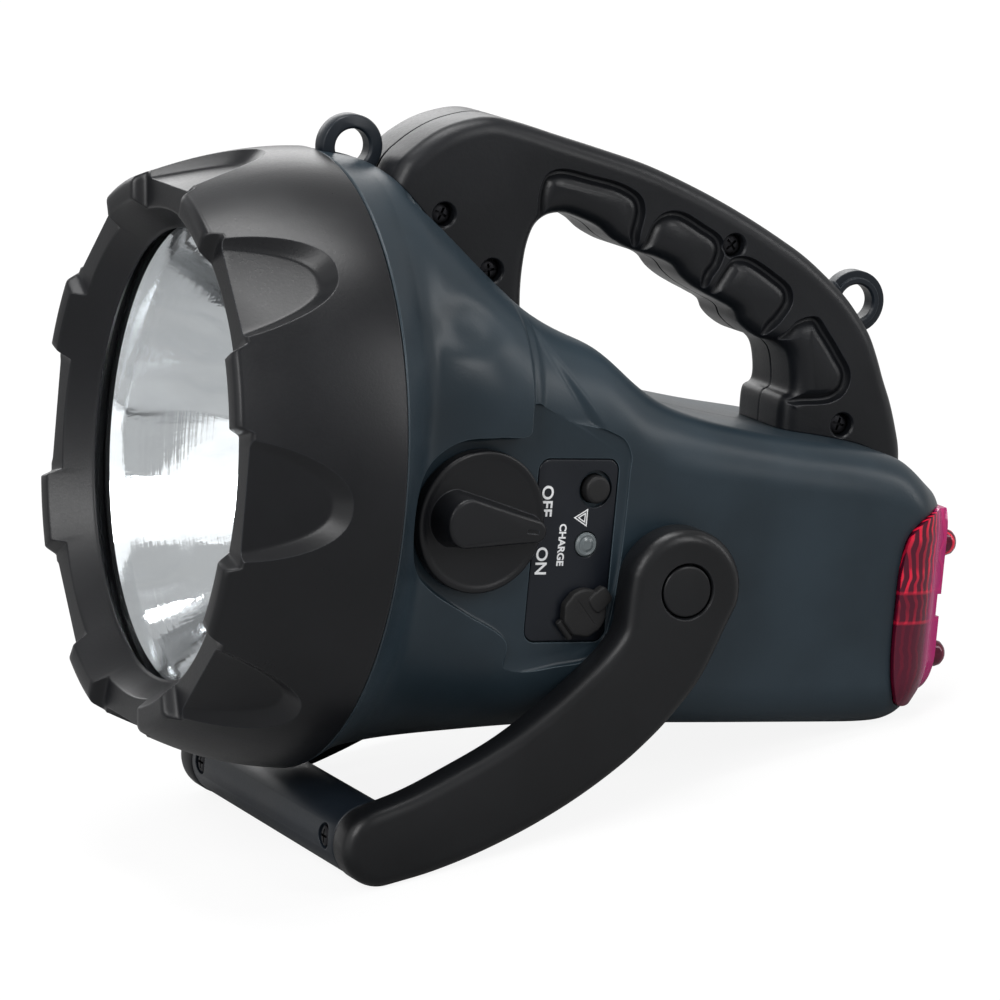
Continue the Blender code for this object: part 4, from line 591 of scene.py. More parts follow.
class Graph:
    """The node tree of a material, or of the world."""

    def __init__(self, name: str, world: bool = False) -> None:
        """Start a material or a world with an empty tree.

        Args:
            name: The name of the material or world.
            world: Whether it is a world.
        """
        kinds = bpy.data.worlds if world else bpy.data.materials
        self.owner = kinds.new(name)
        self.owner.use_nodes = True
        self.tree = self.owner.node_tree
        self.tree.nodes.clear()
        self.out = self.tree.nodes.new(f"ShaderNodeOutput{'World' if world else 'Material'}")

    def node(self, kind: str, settings: dict[str, Any], inputs: dict[Any, Any]) -> bpy.types.Node:
        """Add a node.

        Args:
            kind: The node's type.
            settings: Its settings by name.
            inputs: Values or wires by socket name or number.

        Returns:
            The node.
        """
        made = self.tree.nodes.new(kind)
        for key, value in settings.items():
            setattr(made, key, value)
        for key, value in inputs.items():
            socket = made.inputs[key]
            if isinstance(value, Wire):
                self.tree.links.new(value.socket, socket)
            elif isinstance(value, tuple) and len(value) == 3 and socket.type == "RGBA":
                socket.default_value = (*value, 1)
            else:
                socket.default_value = value
        return made

    def wire(self, kind: str, settings: dict[str, Any], inputs: dict[Any, Any],
             out: Any = 0) -> Wire:
        """Add a node and return one of its outputs."""
        return Wire(self, self.node(kind, settings, inputs).outputs[out])

    def place(self) -> Wire:
        """Return the object coordinates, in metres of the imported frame."""
        return self.wire("ShaderNodeTexCoord", {}, {}, "Object")

    def lamp_place(self) -> Wire:
        """Return the place in the lamp's own axes, in millimetres.

        Returns:
            The place as a vector.
        """
        back = LAMP.inverted()
        return self.wire("ShaderNodeMapping", {"vector_type": "POINT"}, {
            "Vector": self.place(), "Location": back.to_translation(),
            "Rotation": back.to_euler(), "Scale": back.to_scale()})

    def parts(self, vector: Wire) -> list[Wire]:
        """Return the x, y and z of a vector."""
        split = self.node("ShaderNodeSeparateXYZ", {}, {0: vector})
        return [Wire(self, split.outputs[i]) for i in range(3)]

    def vector(self, x: Value, y: Value = 0.0, z: Value = 0.0) -> Wire:
        """Return the vector of three numbers."""
        return self.wire("ShaderNodeCombineXYZ", {}, {0: x, 1: y, 2: z})

    def noise(self, scale: float, detail: float = 3.0, where: Optional[Wire] = None,
              distortion: float = 0.0) -> Wire:
        """Return a noise between 0 and 1 whose grains measure about 1 / scale metres.

        Args:
            scale: The pattern's scale.
            detail: Its octaves.
            where: The place to read, or the object's coordinates.
            distortion: How far it is stirred.

        Returns:
            The noise.
        """
        vector = where or self.place()
        return self.wire("ShaderNodeTexNoise", {}, {
            "Vector": vector, "Scale": scale, "Detail": detail, "Distortion": distortion}, "Fac")

    def mix(self, share: Value, first: Any, second: Any) -> Wire:
        """Return a blend of two colours."""
        return self.wire("ShaderNodeMix", {"data_type": "RGBA"},
                         {0: share, 6: first, 7: second}, 2)

    def soft_edges(self, radius: float, samples: int = 6) -> Wire:
        """Return normals that round the edges by a radius in metres."""
        return self.wire("ShaderNodeBevel", {"samples": samples}, {"Radius": radius})

    def edges(self, rounded: Wire) -> Wire:
        """Return 0 on open faces and up to 1 at the edges.

        Args:
            rounded: The rounded normals.

        Returns:
            The share of edge.
        """
        true = self.wire("ShaderNodeNewGeometry", {}, {}, "Normal")
        dot = self.wire("ShaderNodeVectorMath", {"operation": "DOT_PRODUCT"},
                        {0: rounded, 1: true}, "Value")
        return (1.0 - dot).spread(0.01, 0.16)

    def bump(self, height: Wire, distance: float, normal: Optional[Wire] = None) -> Wire:
        """Return normals that follow a height, with its full height in metres.

        Args:
            height: The height between 0 and 1.
            distance: The full height.
            normal: Normals to start from.

        Returns:
            The normals.
        """
        inputs: dict[Any, Any] = {"Height": height, "Distance": distance, "Strength": 1.0}
        if normal is not None:
            inputs["Normal"] = normal
        return self.wire("ShaderNodeBump", {}, inputs)

    def principled(self, **inputs: Any) -> bpy.types.Node:
        """Add a Principled shader.

        Args:
            inputs: Values or wires by socket name, in lower case with underscores.

        Returns:
            The shader's node.
        """
        return self.node("ShaderNodeBsdfPrincipled", {}, {
            key.replace("_", " ").title().replace("Ior", "IOR"): value
            for key, value in inputs.items()})

    def finish(self, shader: bpy.types.Node) -> bpy.types.ID:
        """Put a shader on the output and return the material or world."""
        self.tree.links.new(shader.outputs[0], self.out.inputs[0])
        return self.owner

    def shade(self, **inputs: Any) -> bpy.types.Material:
        """Finish the tree with a Principled shader and return the material."""
        return self.finish(self.principled(**inputs))

    def blend(self, share: Value, first: bpy.types.Node,
              second: bpy.types.Node) -> bpy.types.ID:
        """Finish the tree with a mix of two shaders and return the material.

        Args:
            share: The share of the second.
            first: The first shader.
            second: The second shader.

        Returns:
            The material.
        """
        both = self.node("ShaderNodeMixShader", {}, {0: share})
        self.tree.links.new(first.outputs[0], both.inputs[1])
        self.tree.links.new(second.outputs[0], both.inputs[2])
        return self.finish(both)


@dataclass(frozen=True)
class Moulded:
    """Moulded plastic or rubber: a fine grain, faint flow marks and a painted highlight that pales
    the edges.
    """

    slot: str
    colour: Colour
    # the colour of the painted highlight along the edges
    highlight_colour: Colour
    roughness: float = 0.42
    grain: float = 0.000018
    grain_scale: float = 1500.0
    cloud_scale: float = 28.0
    flow_scale: float = 210.0
    # how far the painted edge highlight pales the edges
    highlight_share: float = 0.55
    edge_radius: float = 0.00045
    coat: float = 0.0
    specular: float = 0.26

    def make(self, name: str) -> bpy.types.Material:
        """Build the material.

        Args:
            name: The material's name.

        Returns:
            The material.
        """
        g = Graph(name)
        cloud = g.noise(self.cloud_scale, 4.0)
        speck = g.noise(self.grain_scale, 2.0)
        broad = g.noise(self.flow_scale, 3.0, distortion=0.4)
        rounded = g.soft_edges(self.edge_radius)
        edge = g.edges(rounded)
        dark = tuple(c * 0.82 for c in self.colour)
        pale = tuple(c * 1.16 for c in self.colour)
        base = g.mix(cloud.spread(0.3, 0.7), dark, pale)
        # Painted highlight: the edges are paled towards their own colour, as where they catch the
        # light.
        colour = g.mix(edge * self.highlight_share, base, self.highlight_colour)
        rough = cloud.spread(0.25, 0.75, self.roughness - 0.05, self.roughness + 0.05)
        rough = rough + (speck - 0.5) * 0.12 - edge * 0.06
        normal = g.bump(speck + broad * 0.35, self.grain, rounded)
        return g.shade(base_color=colour, roughness=rough, normal=normal, coat_weight=self.coat,
                       coat_roughness=0.25, specular_ior_level=self.specular)


@dataclass(frozen=True)
class Bright:
    """Metal: fine streaks or a turned grain in its colour and gloss."""

    slot: str
    colour: Colour
    roughness: float = 0.3
    streak: float = 0.000006
    streak_scale: Triple = (1.0, 1.0, 1.0)
    grain_scale: float = 900.0

    def make(self, name: str) -> bpy.types.Material:
        """Build the material.

        Args:
            name: The material's name.

        Returns:
            The material.
        """
        g = Graph(name)
        stretched = g.wire("ShaderNodeMapping", {},
                           {"Vector": g.place(), "Scale": self.streak_scale})
        fine = g.noise(self.grain_scale, 4.0, stretched)
        cloud = g.noise(60.0, 3.0)
        dark = tuple(c * 0.86 for c in self.colour)
        colour = g.mix(cloud.spread(0.3, 0.7), dark, self.colour)
        rough = fine.spread(0.3, 0.7, self.roughness * 0.75, self.roughness * 1.3)
        return g.shade(base_color=colour, metallic=1.0, roughness=rough,
                       normal=g.bump(fine, self.streak))


@dataclass(frozen=True)
class Mirror:
    """The reflector's metallised dish: near a mirror, with faint turned ripples and haze."""

    slot: str = "chrome"

    def make(self, name: str) -> bpy.types.Material:
        """Build the material.

        Args:
            name: The material's name.

        Returns:
            The material.
        """
        g = Graph(name)
        x, y, z = g.parts(g.lamp_place())
        around = g.wire("ShaderNodeMath", {"operation": "ARCTAN2"}, {0: z, 1: y})
        rays = g.noise(3.0, 4.0, g.vector(around * 2.2, x * 0.02), 0.6)
        rings = g.noise(0.9, 2.0, g.vector(x))
        haze = rays.spread(0.35, 0.75)
        colour = g.mix(haze, (0.95, 0.955, 0.96), (0.86, 0.87, 0.88))
        return g.shade(base_color=colour, metallic=1.0, roughness=haze.spread(0, 1, 0.05, 0.16),
                       normal=g.bump(rays * 0.8 + rings * 0.2, 0.00014))


@dataclass(frozen=True)
class Clear:
    """Clear plastic or glass: see-through, with the gloss that its angle gives."""

    slot: str = "clear_plastic"
    tint: Colour = (0.965, 0.975, 0.98)
    ior: float = 1.45
    strength: float = 1.0
    mottle: float = 0.0

    def make(self, name: str) -> bpy.types.Material:
        """Build the material.

        Args:
            name: The material's name.

        Returns:
            The material.
        """
        g = Graph(name)
        smear = g.noise(35.0, 3.0)
        through = g.node("ShaderNodeBsdfTransparent", {}, {"Color": self.tint})
        gloss = g.principled(base_color=(0.8, 0.82, 0.84), metallic=1.0,
                             roughness=smear.spread(0.3, 0.7, 0.02, 0.07))
        outside = 1.0 - g.wire("ShaderNodeNewGeometry", {}, {}, "Backfacing")
        angle = g.wire("ShaderNodeFresnel", {}, {"IOR": self.ior}) * outside
        share = angle * self.strength + smear.spread(0.4, 0.8) * self.mottle
        return g.blend(share, through, gloss)


@dataclass(frozen=True)
class RedLens:
    """The tail lamp's red lens, with wavy upright flutes above its band, and painted light in its
    colour.
    """

    slot: str = "red_plastic"
    deep: Colour = (0.070, 0.0015, 0.014)
    # the red of the painted light through the flutes; on the LEDs it only sets their tone with deep
    bright: Colour = (0.80, 0.014, 0.05)
    # the colour of the painted highlight at the rear corner
    corner_highlight: Colour = (0.46, 0.014, 0.17)
    pitch: float = 3.1
    waviness: float = 6.0
    band: Pair = (-33.0, -25.0)
    fluted: bool = True

    def make(self, name: str) -> bpy.types.Material:
        """Build the material.

        Args:
            name: The material's name.

        Returns:
            The material.
        """
        g = Graph(name)
        x, y, z = g.parts(g.lamp_place())
        out = g.wire("ShaderNodeMath", {"operation": "ABSOLUTE"}, {0: y})
        ripple = g.noise(0.16, 1.5, g.vector(x * 0.5, y * 0.5, z))
        along = x - out + ripple * self.waviness
        wave = ((along * (2 * math.pi / self.pitch)).sine() * 0.5 + 0.5).spread(0.45, 0.9)
        patch = g.noise(0.12, 2.0, g.vector(x, y, z)).spread(0.35, 0.6)
        low, high = self.band
        upper = z.spread(high - 0.2, high + 0.4)
        lower = z.spread(low - 0.4, low + 0.2)
        rims = (z.spread(low - 0.6, low) * z.spread(low + 0.8, low + 0.2)
                + z.spread(high - 0.6, high) * z.spread(high + 0.8, high + 0.2))
        share = (upper * 0.85 + lower * 0.3 + 0.06) * (patch * 0.7 + 0.3)
        height = wave * share + rims * 0.35 if self.fluted else g.noise(900.0)
        # Painted light: where the flutes' waves rise, the deep red is lit up to the bright red as
        # light through them, and the band's rims pale it in lines along the band's edges; the
        # corner mask paints a pink highlight at the rear corner.
        corner = x.spread(167.0, 170.8) * out.spread(30.0, 36.0) * 0.85
        colour = g.mix(corner, g.mix(height, self.deep, self.bright), self.corner_highlight)
        return g.shade(base_color=colour, roughness=0.16, ior=1.49, transmission_weight=0.1,
                       normal=g.bump(height, 0.00012 if self.fluted else 0.00001),
                       coat_weight=0.35, coat_roughness=0.09, coat_tint=(1.0, 0.55, 0.8),
                       specular_ior_level=0.28, specular_tint=(1.0, 0.5, 0.7))


@dataclass(frozen=True)
class Printed:
    """Flat white ink for the lettering, slightly uneven."""

    slot: str = "white_plastic"
    colour: Colour = (0.86, 0.87, 0.88)

    def make(self, name: str) -> bpy.types.Material:
        """Build the material.

        Args:
            name: The material's name.

        Returns:
            The material.
        """
        g = Graph(name)
        speck = g.noise(2600.0, 2.0)
        colour = g.mix(speck.spread(0.3, 0.75), tuple(c * 0.9 for c in self.colour), self.colour)
        return g.shade(base_color=colour, roughness=speck.spread(0, 1, 0.45, 0.65),
                       normal=g.bump(speck, 0.000008))


@dataclass(frozen=True)
class Board:
    """A circuit board: green mask with pale copper tracks under it."""

    slot: str = "board_green"

    def make(self, name: str) -> bpy.types.Material:
        """Build the material.

        Args:
            name: The material's name.

        Returns:
            The material.
        """
        g = Graph(name)
        cells = g.wire("ShaderNodeTexVoronoi", {"feature": "DISTANCE_TO_EDGE"}, {
            "Vector": g.place(), "Scale": 260.0}, "Distance")
        track = 1.0 - cells.spread(0.02, 0.09)
        colour = g.mix(track, (0.012, 0.085, 0.03), (0.05, 0.22, 0.085))
        return g.shade(base_color=colour, roughness=track.spread(0, 1, 0.35, 0.28),
                       normal=g.bump(track, 0.00003))


class Finish(Enum):
    """The lamp's finishes."""

    # Moulded rows: slot, colour, the painted edge highlight's colour, roughness.
    BLACK_SATIN = Moulded("black_plastic", (0.0058, 0.0062, 0.0076), (0.045, 0.050, 0.060), 0.34)
    BLACK_GRIP = Moulded("black_plastic", (0.0058, 0.0064, 0.0080), (0.04, 0.044, 0.054), 0.36,
                         grain=0.00003, grain_scale=1300.0)
    BLACK_ARM = Moulded("black_plastic", (0.0056, 0.0060, 0.0070), (0.04, 0.043, 0.050), 0.35)
    BLUE_GREY = Moulded("grey_plastic", (0.0155, 0.0258, 0.0345), (0.12, 0.165, 0.195), 0.35)
    BLUE_DARK = Moulded("grey_plastic", (0.0080, 0.0115, 0.0165), (0.05, 0.06, 0.072), 0.36)
    PLATE_DARK = Moulded("black_plastic", (0.0062, 0.0080, 0.012), (0.04, 0.05, 0.06), 0.33,
                         grain=0.000006)
    RUBBER = Moulded("black_rubber", (0.0105, 0.0105, 0.011), (0.03, 0.031, 0.033), 0.52,
                     grain=0.00003, edge_radius=0.0003)
    WHITE = Moulded("white_plastic", (0.74, 0.74, 0.72), (0.8, 0.8, 0.78), 0.4)
    BATTERY_CASE = Moulded("battery_black", (0.02, 0.02, 0.022), (0.05, 0.05, 0.052), 0.5)
    ZINC = Bright("steel", (0.56, 0.56, 0.57), 0.28, streak_scale=(1.0, 6.0, 1.0))
    DULL_STEEL = Bright("steel", (0.028, 0.028, 0.031), 0.5)
    BRASS = Bright("brass", (0.66, 0.47, 0.2), 0.27)
    MIRROR = Mirror()
    CLEAR = Clear()
    LAMP_GLASS = Clear(ior=1.5, strength=1.6, mottle=0.14)
    LED_CLEAR = Moulded("clear_plastic", (0.10, 0.118, 0.125), (0.3, 0.33, 0.34), 0.2, coat=0.8)
    RED_LENS = RedLens()
    RED_LED = RedLens(fluted=False)
    INK = Printed()
    BOARD = Board()

    @property
    def slot(self) -> str:
        """Return the record's slot that the finish stands for."""
        return self.value.slot

    @cache
    def material(self) -> bpy.types.Material:
        """Return the finish's material, which is made when it is first asked for."""
        return self.value.make(self.name.lower())

    def dress(self, *nodes: str) -> None:
        """Give CAD nodes this finish in all their material slots.

        Args:
            nodes: The names of the nodes.
        """
        for node in nodes:
            for slot in bpy.data.objects[node].material_slots:
                slot.material = self.material()


# ---------------------------------------------------------------- the body's form

@dataclass
class BodyForm:
    """The body's outer form, which the halves, the handle's seat and the tail lens share."""

    length: float = 172.0
    base: float = 79.6
    corner_limit: float = 0.985
    blend: float = 3.2
    rows: tuple[tuple[float, ...], ...] = (
        (0.000, 1.000, 1.000, 1.000, 1.000, 1.000),
        (0.035, 0.885, 0.995, 0.965, 0.880, 0.880),
        (0.080, 0.735, 0.975, 0.935, 0.700, 0.720),
        (0.129, 0.712, 0.885, 0.905, 0.600, 0.660),
        (0.181, 0.702, 0.765, 0.875, 0.500, 0.580),
        (0.234, 0.690, 0.655, 0.845, 0.420, 0.480),
        (0.287, 0.668, 0.560, 0.818, 0.350, 0.380),
        (0.339, 0.645, 0.500, 0.800, 0.310, 0.310),
        (0.410, 0.620, 0.440, 0.780, 0.270, 0.230),
        (0.450, 0.609, 0.372, 0.775, 0.240, 0.185),
        (0.491, 0.597, 0.306, 0.775, 0.215, 0.165),
        (0.544, 0.590, 0.252, 0.775, 0.190, 0.155),
        (0.715, 0.569, 0.178, 0.775, 0.158, 0.150),
        (0.877, 0.549, 0.137, 0.775, 0.155, 0.150),
        (0.936, 0.538, 0.108, 0.768, 0.155, 0.150),
        (0.971, 0.516, 0.050, 0.735, 0.145, 0.150),
        (1.000, 0.460, 0.010, 0.660, 0.130, 0.140),
    )
    counts: tuple[int, ...] = (8, 32, 40, 26, 14)

    def sizes(self, x: Shape, grow: float) -> list[Shape]:
        """Return half width, top, bottom and corner radii at places x, grown outwards.

        Args:
            x: The places along the lamp.
            grow: How far the form grows.

        Returns:
            The five sizes, each with one value for each place.
        """
        table = np.asarray(self.rows)
        reach = np.clip(np.minimum(x, self.length - x), 0, self.blend)
        half, high, low, top_r, low_r = (
            np.mean([steady(np.clip((x + reach * t) / self.length, 0, 1), table[:, 0], table[:, k])
                     for t in (-1, -0.5, 0, 0.5, 1)], axis=0) * self.base + grow
            for k in range(1, 6))
        low = low - 0.09
        limit = np.minimum(half, (high + low) / 2) * self.corner_limit
        return [half, high, low, np.minimum(top_r, limit), np.minimum(low_r, limit)]

    def half_rings(self, x: Shape, grow: float, scale: float = 1.0) -> Shape:
        """Return the left half of each section, from the top seam round the side to the bottom.

        Args:
            x: The places along the lamp.
            grow: How far the form grows.
            scale: How many points for each that counts gives.

        Returns:
            The points, by place and round the section.
        """
        half, high, low, top_r, low_r = (value[:, None] for value in self.sizes(x, grow))
        a, b, c, d, e = (max(int(n * scale), 2) for n in self.counts)
        t = [np.linspace(0, 1, n, endpoint=False)[None] for n in (a, b, c, d)]
        t.append(np.linspace(0, 1, e + 1)[None])
        turn_b, turn_d = t[1] * math.pi / 2, t[3] * math.pi / 2
        y = [-(half - top_r) * t[0], -(half - top_r) - top_r * np.sin(turn_b),
             -half + 0 * t[2], -(half - low_r) - low_r * np.cos(turn_d),
             -(half - low_r) * (1 - t[4])]
        side_run = (high - top_r) + (low - low_r)
        z = [high + 0 * t[0], (high - top_r) + top_r * np.cos(turn_b),
             (high - top_r) - side_run * t[2], -(low - low_r) - low_r * np.sin(turn_d),
             -low + 0 * t[4]]
        y, z = np.concatenate(y, axis=1), np.concatenate(z, axis=1)
        return np.stack([np.broadcast_to(x[:, None], y.shape), y, z], axis=-1)

    def solid(self, grow: float, start: float, stations: int, scale: float) -> Item:
        """Return the whole form as a solid from start to the tail, grown outwards by grow.

        Args:
            grow: How far the form grows.
            start: Where the front end lies.
            stations: The sections along the form.
            scale: How many points for each that counts gives.

        Returns:
            The solid.
        """
        x = np.concatenate([np.linspace(0, self.length - 12, stations),
                            np.linspace(self.length - 12, self.length, stations // 3)[1:]])
        left = self.half_rings(x, grow, scale)
        left[-1, :, 0] = self.length + grow
        if start < 0:
            front = left[:1].copy()
            front[..., 0] = start
            left = np.concatenate([front, left])
        right = left[:, -2:0:-1].copy()
        right[..., 1] *= -1
        return loft(np.concatenate([left, right], axis=1))


FORM = BodyForm()


@dataclass
class Panel:
    """The control panel's own frame: u along the lamp, v up and w outwards."""

    origin: Triple = (30.8, -53.0, -6.4)
    tilt: float = math.radians(6.5)
    size: float = 45.0
    shares: Pairs = (
        (0.29, 0.66), (0.55, 0.59), (0.83, 0.51), (0.93, 0.46), (0.98, 0.37), (0.98, 0.28),
        (0.97, -0.24), (0.93, -0.60), (0.90, -0.72), (0.82, -0.80), (0.62, -0.84), (0.27, -0.87),
        (0.25, -0.69), (-0.02, -0.53), (-0.24, -0.41), (-0.38, -0.29), (-0.46, -0.13),
        (-0.48, 0.05), (-0.43, 0.22), (-0.32, 0.36), (-0.16, 0.45), (0.06, 0.47), (0.26, 0.49))

    def matrix(self) -> Matrix:
        """Return the matrix from the panel's frame, with -Y outwards, to the lamp's."""
        return Matrix.Translation(self.origin) @ Matrix.Rotation(self.tilt, 4, "Z")

    def at(self, u: float, v: float) -> Matrix:
        """Return the matrix that stands a turned form on the panel at (u, v)."""
        return self.matrix() @ Matrix.Translation((u, 0, v)) @ Matrix.Rotation(-math.pi / 2, 4, "Z")

    def outline(self, spacing: float = 0.7) -> Shape:
        """Return the pocket's outline, with its corners gently rounded."""
        return smooth([(u * self.size, v * self.size) for u, v in self.shares], spacing)


PANEL = Panel()


# ---------------------------------------------------------------- head

@dataclass
class Head:
    """Bezel, front lens, gasket, reflector and bulb."""

    seam_radius: float = 80.0
    length: float = 42.0
    rim_radius: float = 70.5
    rim_face: float = 3.6
    rim_edge: float = 1.75
    rim_margin: float = 0.18
    pulled_length: float = 9.0
    seam_chamfer: float = 79.5
    rim_inset: float = 1.65
    lip_radius: float = 57.8
    lip_place: float = -31.3
    lip_thickness: float = 1.6
    seat_radius: float = 64.3
    seat_end: float = -24.1
    bore: float = 71.5
    teeth: int = 8
    tooth_height: float = 3.6
    tooth_half: float = 7.6
    flank: float = 1.7
    scoop_length: float = 21.0
    scoop_half_angle: float = 11.0
    scoop_depth: float = 3.4
    scoop_slope: float = 4.2
    scoop_clear_angle: float = 12.9
    dish_mouth: float = 58.4
    dish_apex: float = 32.0
    dish_start: float = -23.8
    dish_hole: float = 9.0
    dish_wall: float = 1.5
    flange_radius: float = 70.4
    flange_thickness: float = 2.0
    dish_rim: Pair = (60.0, 62.4)
    lens_radius: float = 63.9
    lens_faces: Pair = (-29.4, -26.5)
    gasket_inner: float = 62.6
    gasket_faces: Pair = (-26.1, -24.1)
    bulb_radius: float = 5.5
    bulb_length: float = 24.0
    bulb_flange: Pairs = (
        (0, 0), (0, 8.0), (0.15, 8.4), (0.3, 8.4), (0.3, 12.0), (1.8, 12.0), (1.8, 4.2),
        (6.8, 4.2), (6.8, 0))

    def barrel(self, distance: Shape) -> Shape:
        """Return the outer radius at a distance forward of the seam."""
        share = np.clip(np.asarray(distance) / self.length, 0, 1.2)
        return self.seam_radius - (self.seam_radius - self.rim_radius) * share ** 1.8

    def bezel(self) -> Item:
        """Build the bezel: a turned ring whose front is pulled back between eight teeth.

        Returns:
            The bezel with its teeth and hollows.
        """
        face, face_out = self.rim_margin - self.length, self.rim_radius - self.rim_inset
        face_in = face_out - self.rim_face
        bend = -face - self.rim_edge
        outer = np.linspace(0.6, bend - 0.2, 34)
        wall = np.vstack([[(-SEAM, self.seam_chamfer)],
                          np.column_stack([-outer, self.barrel(outer)])])
        high = float(self.barrel(bend)) - face_out
        nose = np.array([(-bend - self.rim_edge * math.sin(a), face_out + high * math.cos(a))
                         for a in np.linspace(0, math.pi / 2, 9)])
        inner_edge = arc((face + 1.0, face_in + 0.4), 1.0, 190, 240, 4)
        start = inner_edge[-1]
        funnel = np.column_stack([np.linspace(start[0], self.lip_place - 0.5, 9)[1:],
                                  np.linspace(start[1], self.lip_radius + 0.55, 9)[1:]])
        lip = arc((self.lip_place + 0.35, self.lip_radius + 0.4), 0.45, 200, 270, 3)
        back = self.lip_place + self.lip_thickness
        hidden = np.array([(back, self.lip_radius + 1.4), (back, self.seat_radius),
                           (self.seat_end, self.seat_radius), (self.seat_end, self.bore),
                           (-SEAM, self.bore)])
        profile = np.vstack([wall, nose, inner_edge, funnel, lip, hidden])
        turns = self.turns()
        pulled = self.tooth_height * (1 - self.tooth_share(turns))[:, None]
        x, r = profile[:, 0][None], profile[:, 1][None]
        reach = np.clip((-x - (self.length - self.pulled_length)) / self.pulled_length, 0, 1)
        new_x = x + pulled * reach
        slope = (face_in - self.lip_radius) / (self.length + self.lip_place)
        outside = np.clip((r - face_in) / (face_out - face_in), 0, 1)
        new_r = (r + outside * (self.barrel(-new_x) - self.barrel(-x))
                 - (1 - outside) * slope * (new_x - x))
        angle = np.radians(turns)[:, None]
        points = np.stack([new_x, new_r * np.cos(angle), new_r * np.sin(angle)], axis=-1)
        ring = sew(sheet(np.concatenate([points, points[:, :1]], axis=1)), fill=False)
        for i in range(self.teeth):
            cut(ring, self.scoop(2 * math.pi * i / self.teeth))
        return ring

    def turns(self) -> Shape:
        """Return the angles in degrees of the bezel's steps, close together at the flanks.

        Returns:
            The angles, the first of them repeated after a full turn.
        """
        period = 360 / self.teeth
        middle = period / 2
        top = np.linspace(-self.tooth_half, self.tooth_half, 12)
        rise = np.linspace(self.tooth_half, self.tooth_half + self.flank, 9)[1:]
        gap = np.linspace(self.tooth_half + self.flank,
                          period - self.tooth_half - self.flank, 20)[1:]
        fall = period - rise[::-1][1:]
        one = np.concatenate([top, rise, gap, fall])
        steps = [middle + one + period * i for i in range(self.teeth)]
        return np.concatenate([*steps, [middle + one[0] + 360]])

    def tooth_share(self, turns: Shape) -> Shape:
        """Return 1 on a tooth's top, 0 in a gap and the smooth flank between them.

        Args:
            turns: The angles in degrees.

        Returns:
            One share for each angle.
        """
        period = 360 / self.teeth
        off = np.abs(turns % period - period / 2)
        return 1 - eased((off - self.tooth_half) / self.flank)

    def scoop(self, angle: float) -> Item:
        """Build the cutter of one hollow: a tongue with a flat floor and sloping sides.

        Args:
            angle: Where the hollow lies round the bezel, in radians.

        Returns:
            The cutter.
        """
        front = self.length - self.tooth_height
        tip = float(self.barrel(front - self.scoop_length)) - self.scoop_depth
        near = float(self.barrel(front)) - self.scoop_depth * 0.9
        fall = (tip - near) / self.scoop_length
        ratio = self.scoop_depth / self.scoop_slope
        side = np.linspace(-1, 1, 49)
        rings = []
        levels = [(-0.9, 0.0), (-0.35, 0.07), (0.15, 0.26), (0.65, 0.6), (1.2, 1.2 * ratio)]
        levels += [(s, s * ratio) for s in (3.0, 5.2, 7.6)] + [(7.6, 12.0)]
        for spread, lift in levels:
            half = self.rim_radius * math.sin(math.radians(self.scoop_half_angle)) + spread
            reach = (self.scoop_length + spread) * (1 - np.abs(side) ** 2.4)
            flat = np.column_stack([reach, side * half])
            clear = min(half, self.rim_radius * math.sin(math.radians(self.scoop_clear_angle)))
            flat = np.vstack([flat, [(-0.02, half), (-0.02, clear), (-8.0, clear), (-8.0, -clear),
                                     (-0.02, -clear), (-0.02, -half)]])
            height = near + lift + fall * flat[:, 0]
            rings.append(np.column_stack([flat[:, 0] - front, flat[:, 1], height]))
        return moved(loft(np.stack(rings)), Matrix.Rotation(angle, 4, "X"))

    def neck(self) -> float:
        """Return where the dish's hole begins, on the parabola through its mouth."""
        depth = self.dish_apex - self.dish_start
        return self.dish_apex - depth * (self.dish_hole / self.dish_mouth) ** 2

    def reflector(self) -> Item:
        """Build the dish with its flange, its forward rim and its neck.

        Returns:
            The dish.
        """
        start, apex, wall, neck = self.dish_start, self.dish_apex, self.dish_wall, self.neck()
        depth = apex - start
        share = np.linspace(0, 1, 46)
        x = start + (neck - start) * (1 - (1 - share) ** 1.7)
        inner = np.column_stack([x, self.dish_mouth * np.sqrt((apex - x) / depth)])
        back = start + self.flange_thickness
        behind = np.maximum(x[::-3], back)
        bowl = self.dish_mouth * np.sqrt(np.maximum(apex + wall - behind, 0) / depth) + wall
        outer = np.column_stack([behind, bowl])
        ends = [(neck + wall, self.dish_hole), (neck + wall, outer[0, 1])]
        rim_in, rim_out = self.dish_rim
        flange = [(back, self.flange_radius), (start, self.flange_radius), (start, rim_out),
                  (start - 2.2, rim_out), (start - 2.2, rim_in)]
        return lathe(np.vstack([inner, ends, outer[1:], flange]), 192, closed=True)

    def bulb(self) -> Item:
        """Build the bulb's glass with its round tip and its waist above the base.

        Returns:
            The glass.
        """
        seat, r = self.neck() + self.dish_wall, self.bulb_radius
        tip = seat - self.bulb_length
        dome = [(tip + r * (1 - math.cos(a)), r * math.sin(a))
                for a in np.linspace(0, math.pi / 2, 14)]
        glass = [*dome, (seat - 7.0, r), (seat - 4.5, 4.9), (seat - 3.0, 4.9), (seat - 0.3, 5.4),
                 (seat - 0.3, 0)]
        return lathe(glass, 48)

    def bulb_base(self) -> Item:
        """Build the bulb's brass base with its flange, behind the dish's neck."""
        seat = self.neck() + self.dish_wall
        return lathe([(seat + x, r) for x, r in self.bulb_flange], 48)

    def lens(self) -> Item:
        """Build the flat front lens with its chamfered edge.

        Returns:
            The lens.
        """
        (front, back), r = self.lens_faces, self.lens_radius
        return lathe([(front, 0), (front, r - 0.3), (front + 0.3, r), (back - 0.3, r),
                      (back, r - 0.3), (back, 0)], 160)

    def gasket(self) -> Item:
        """Build the rubber ring behind the lens's edge.

        Returns:
            The ring.
        """
        (front, back), r = self.gasket_faces, self.lens_radius
        return lathe([(front, self.gasket_inner), (front, r - 0.2), (front + 0.2, r),
                      (back - 0.2, r), (back, r - 0.2), (back, self.gasket_inner)], 96, closed=True)

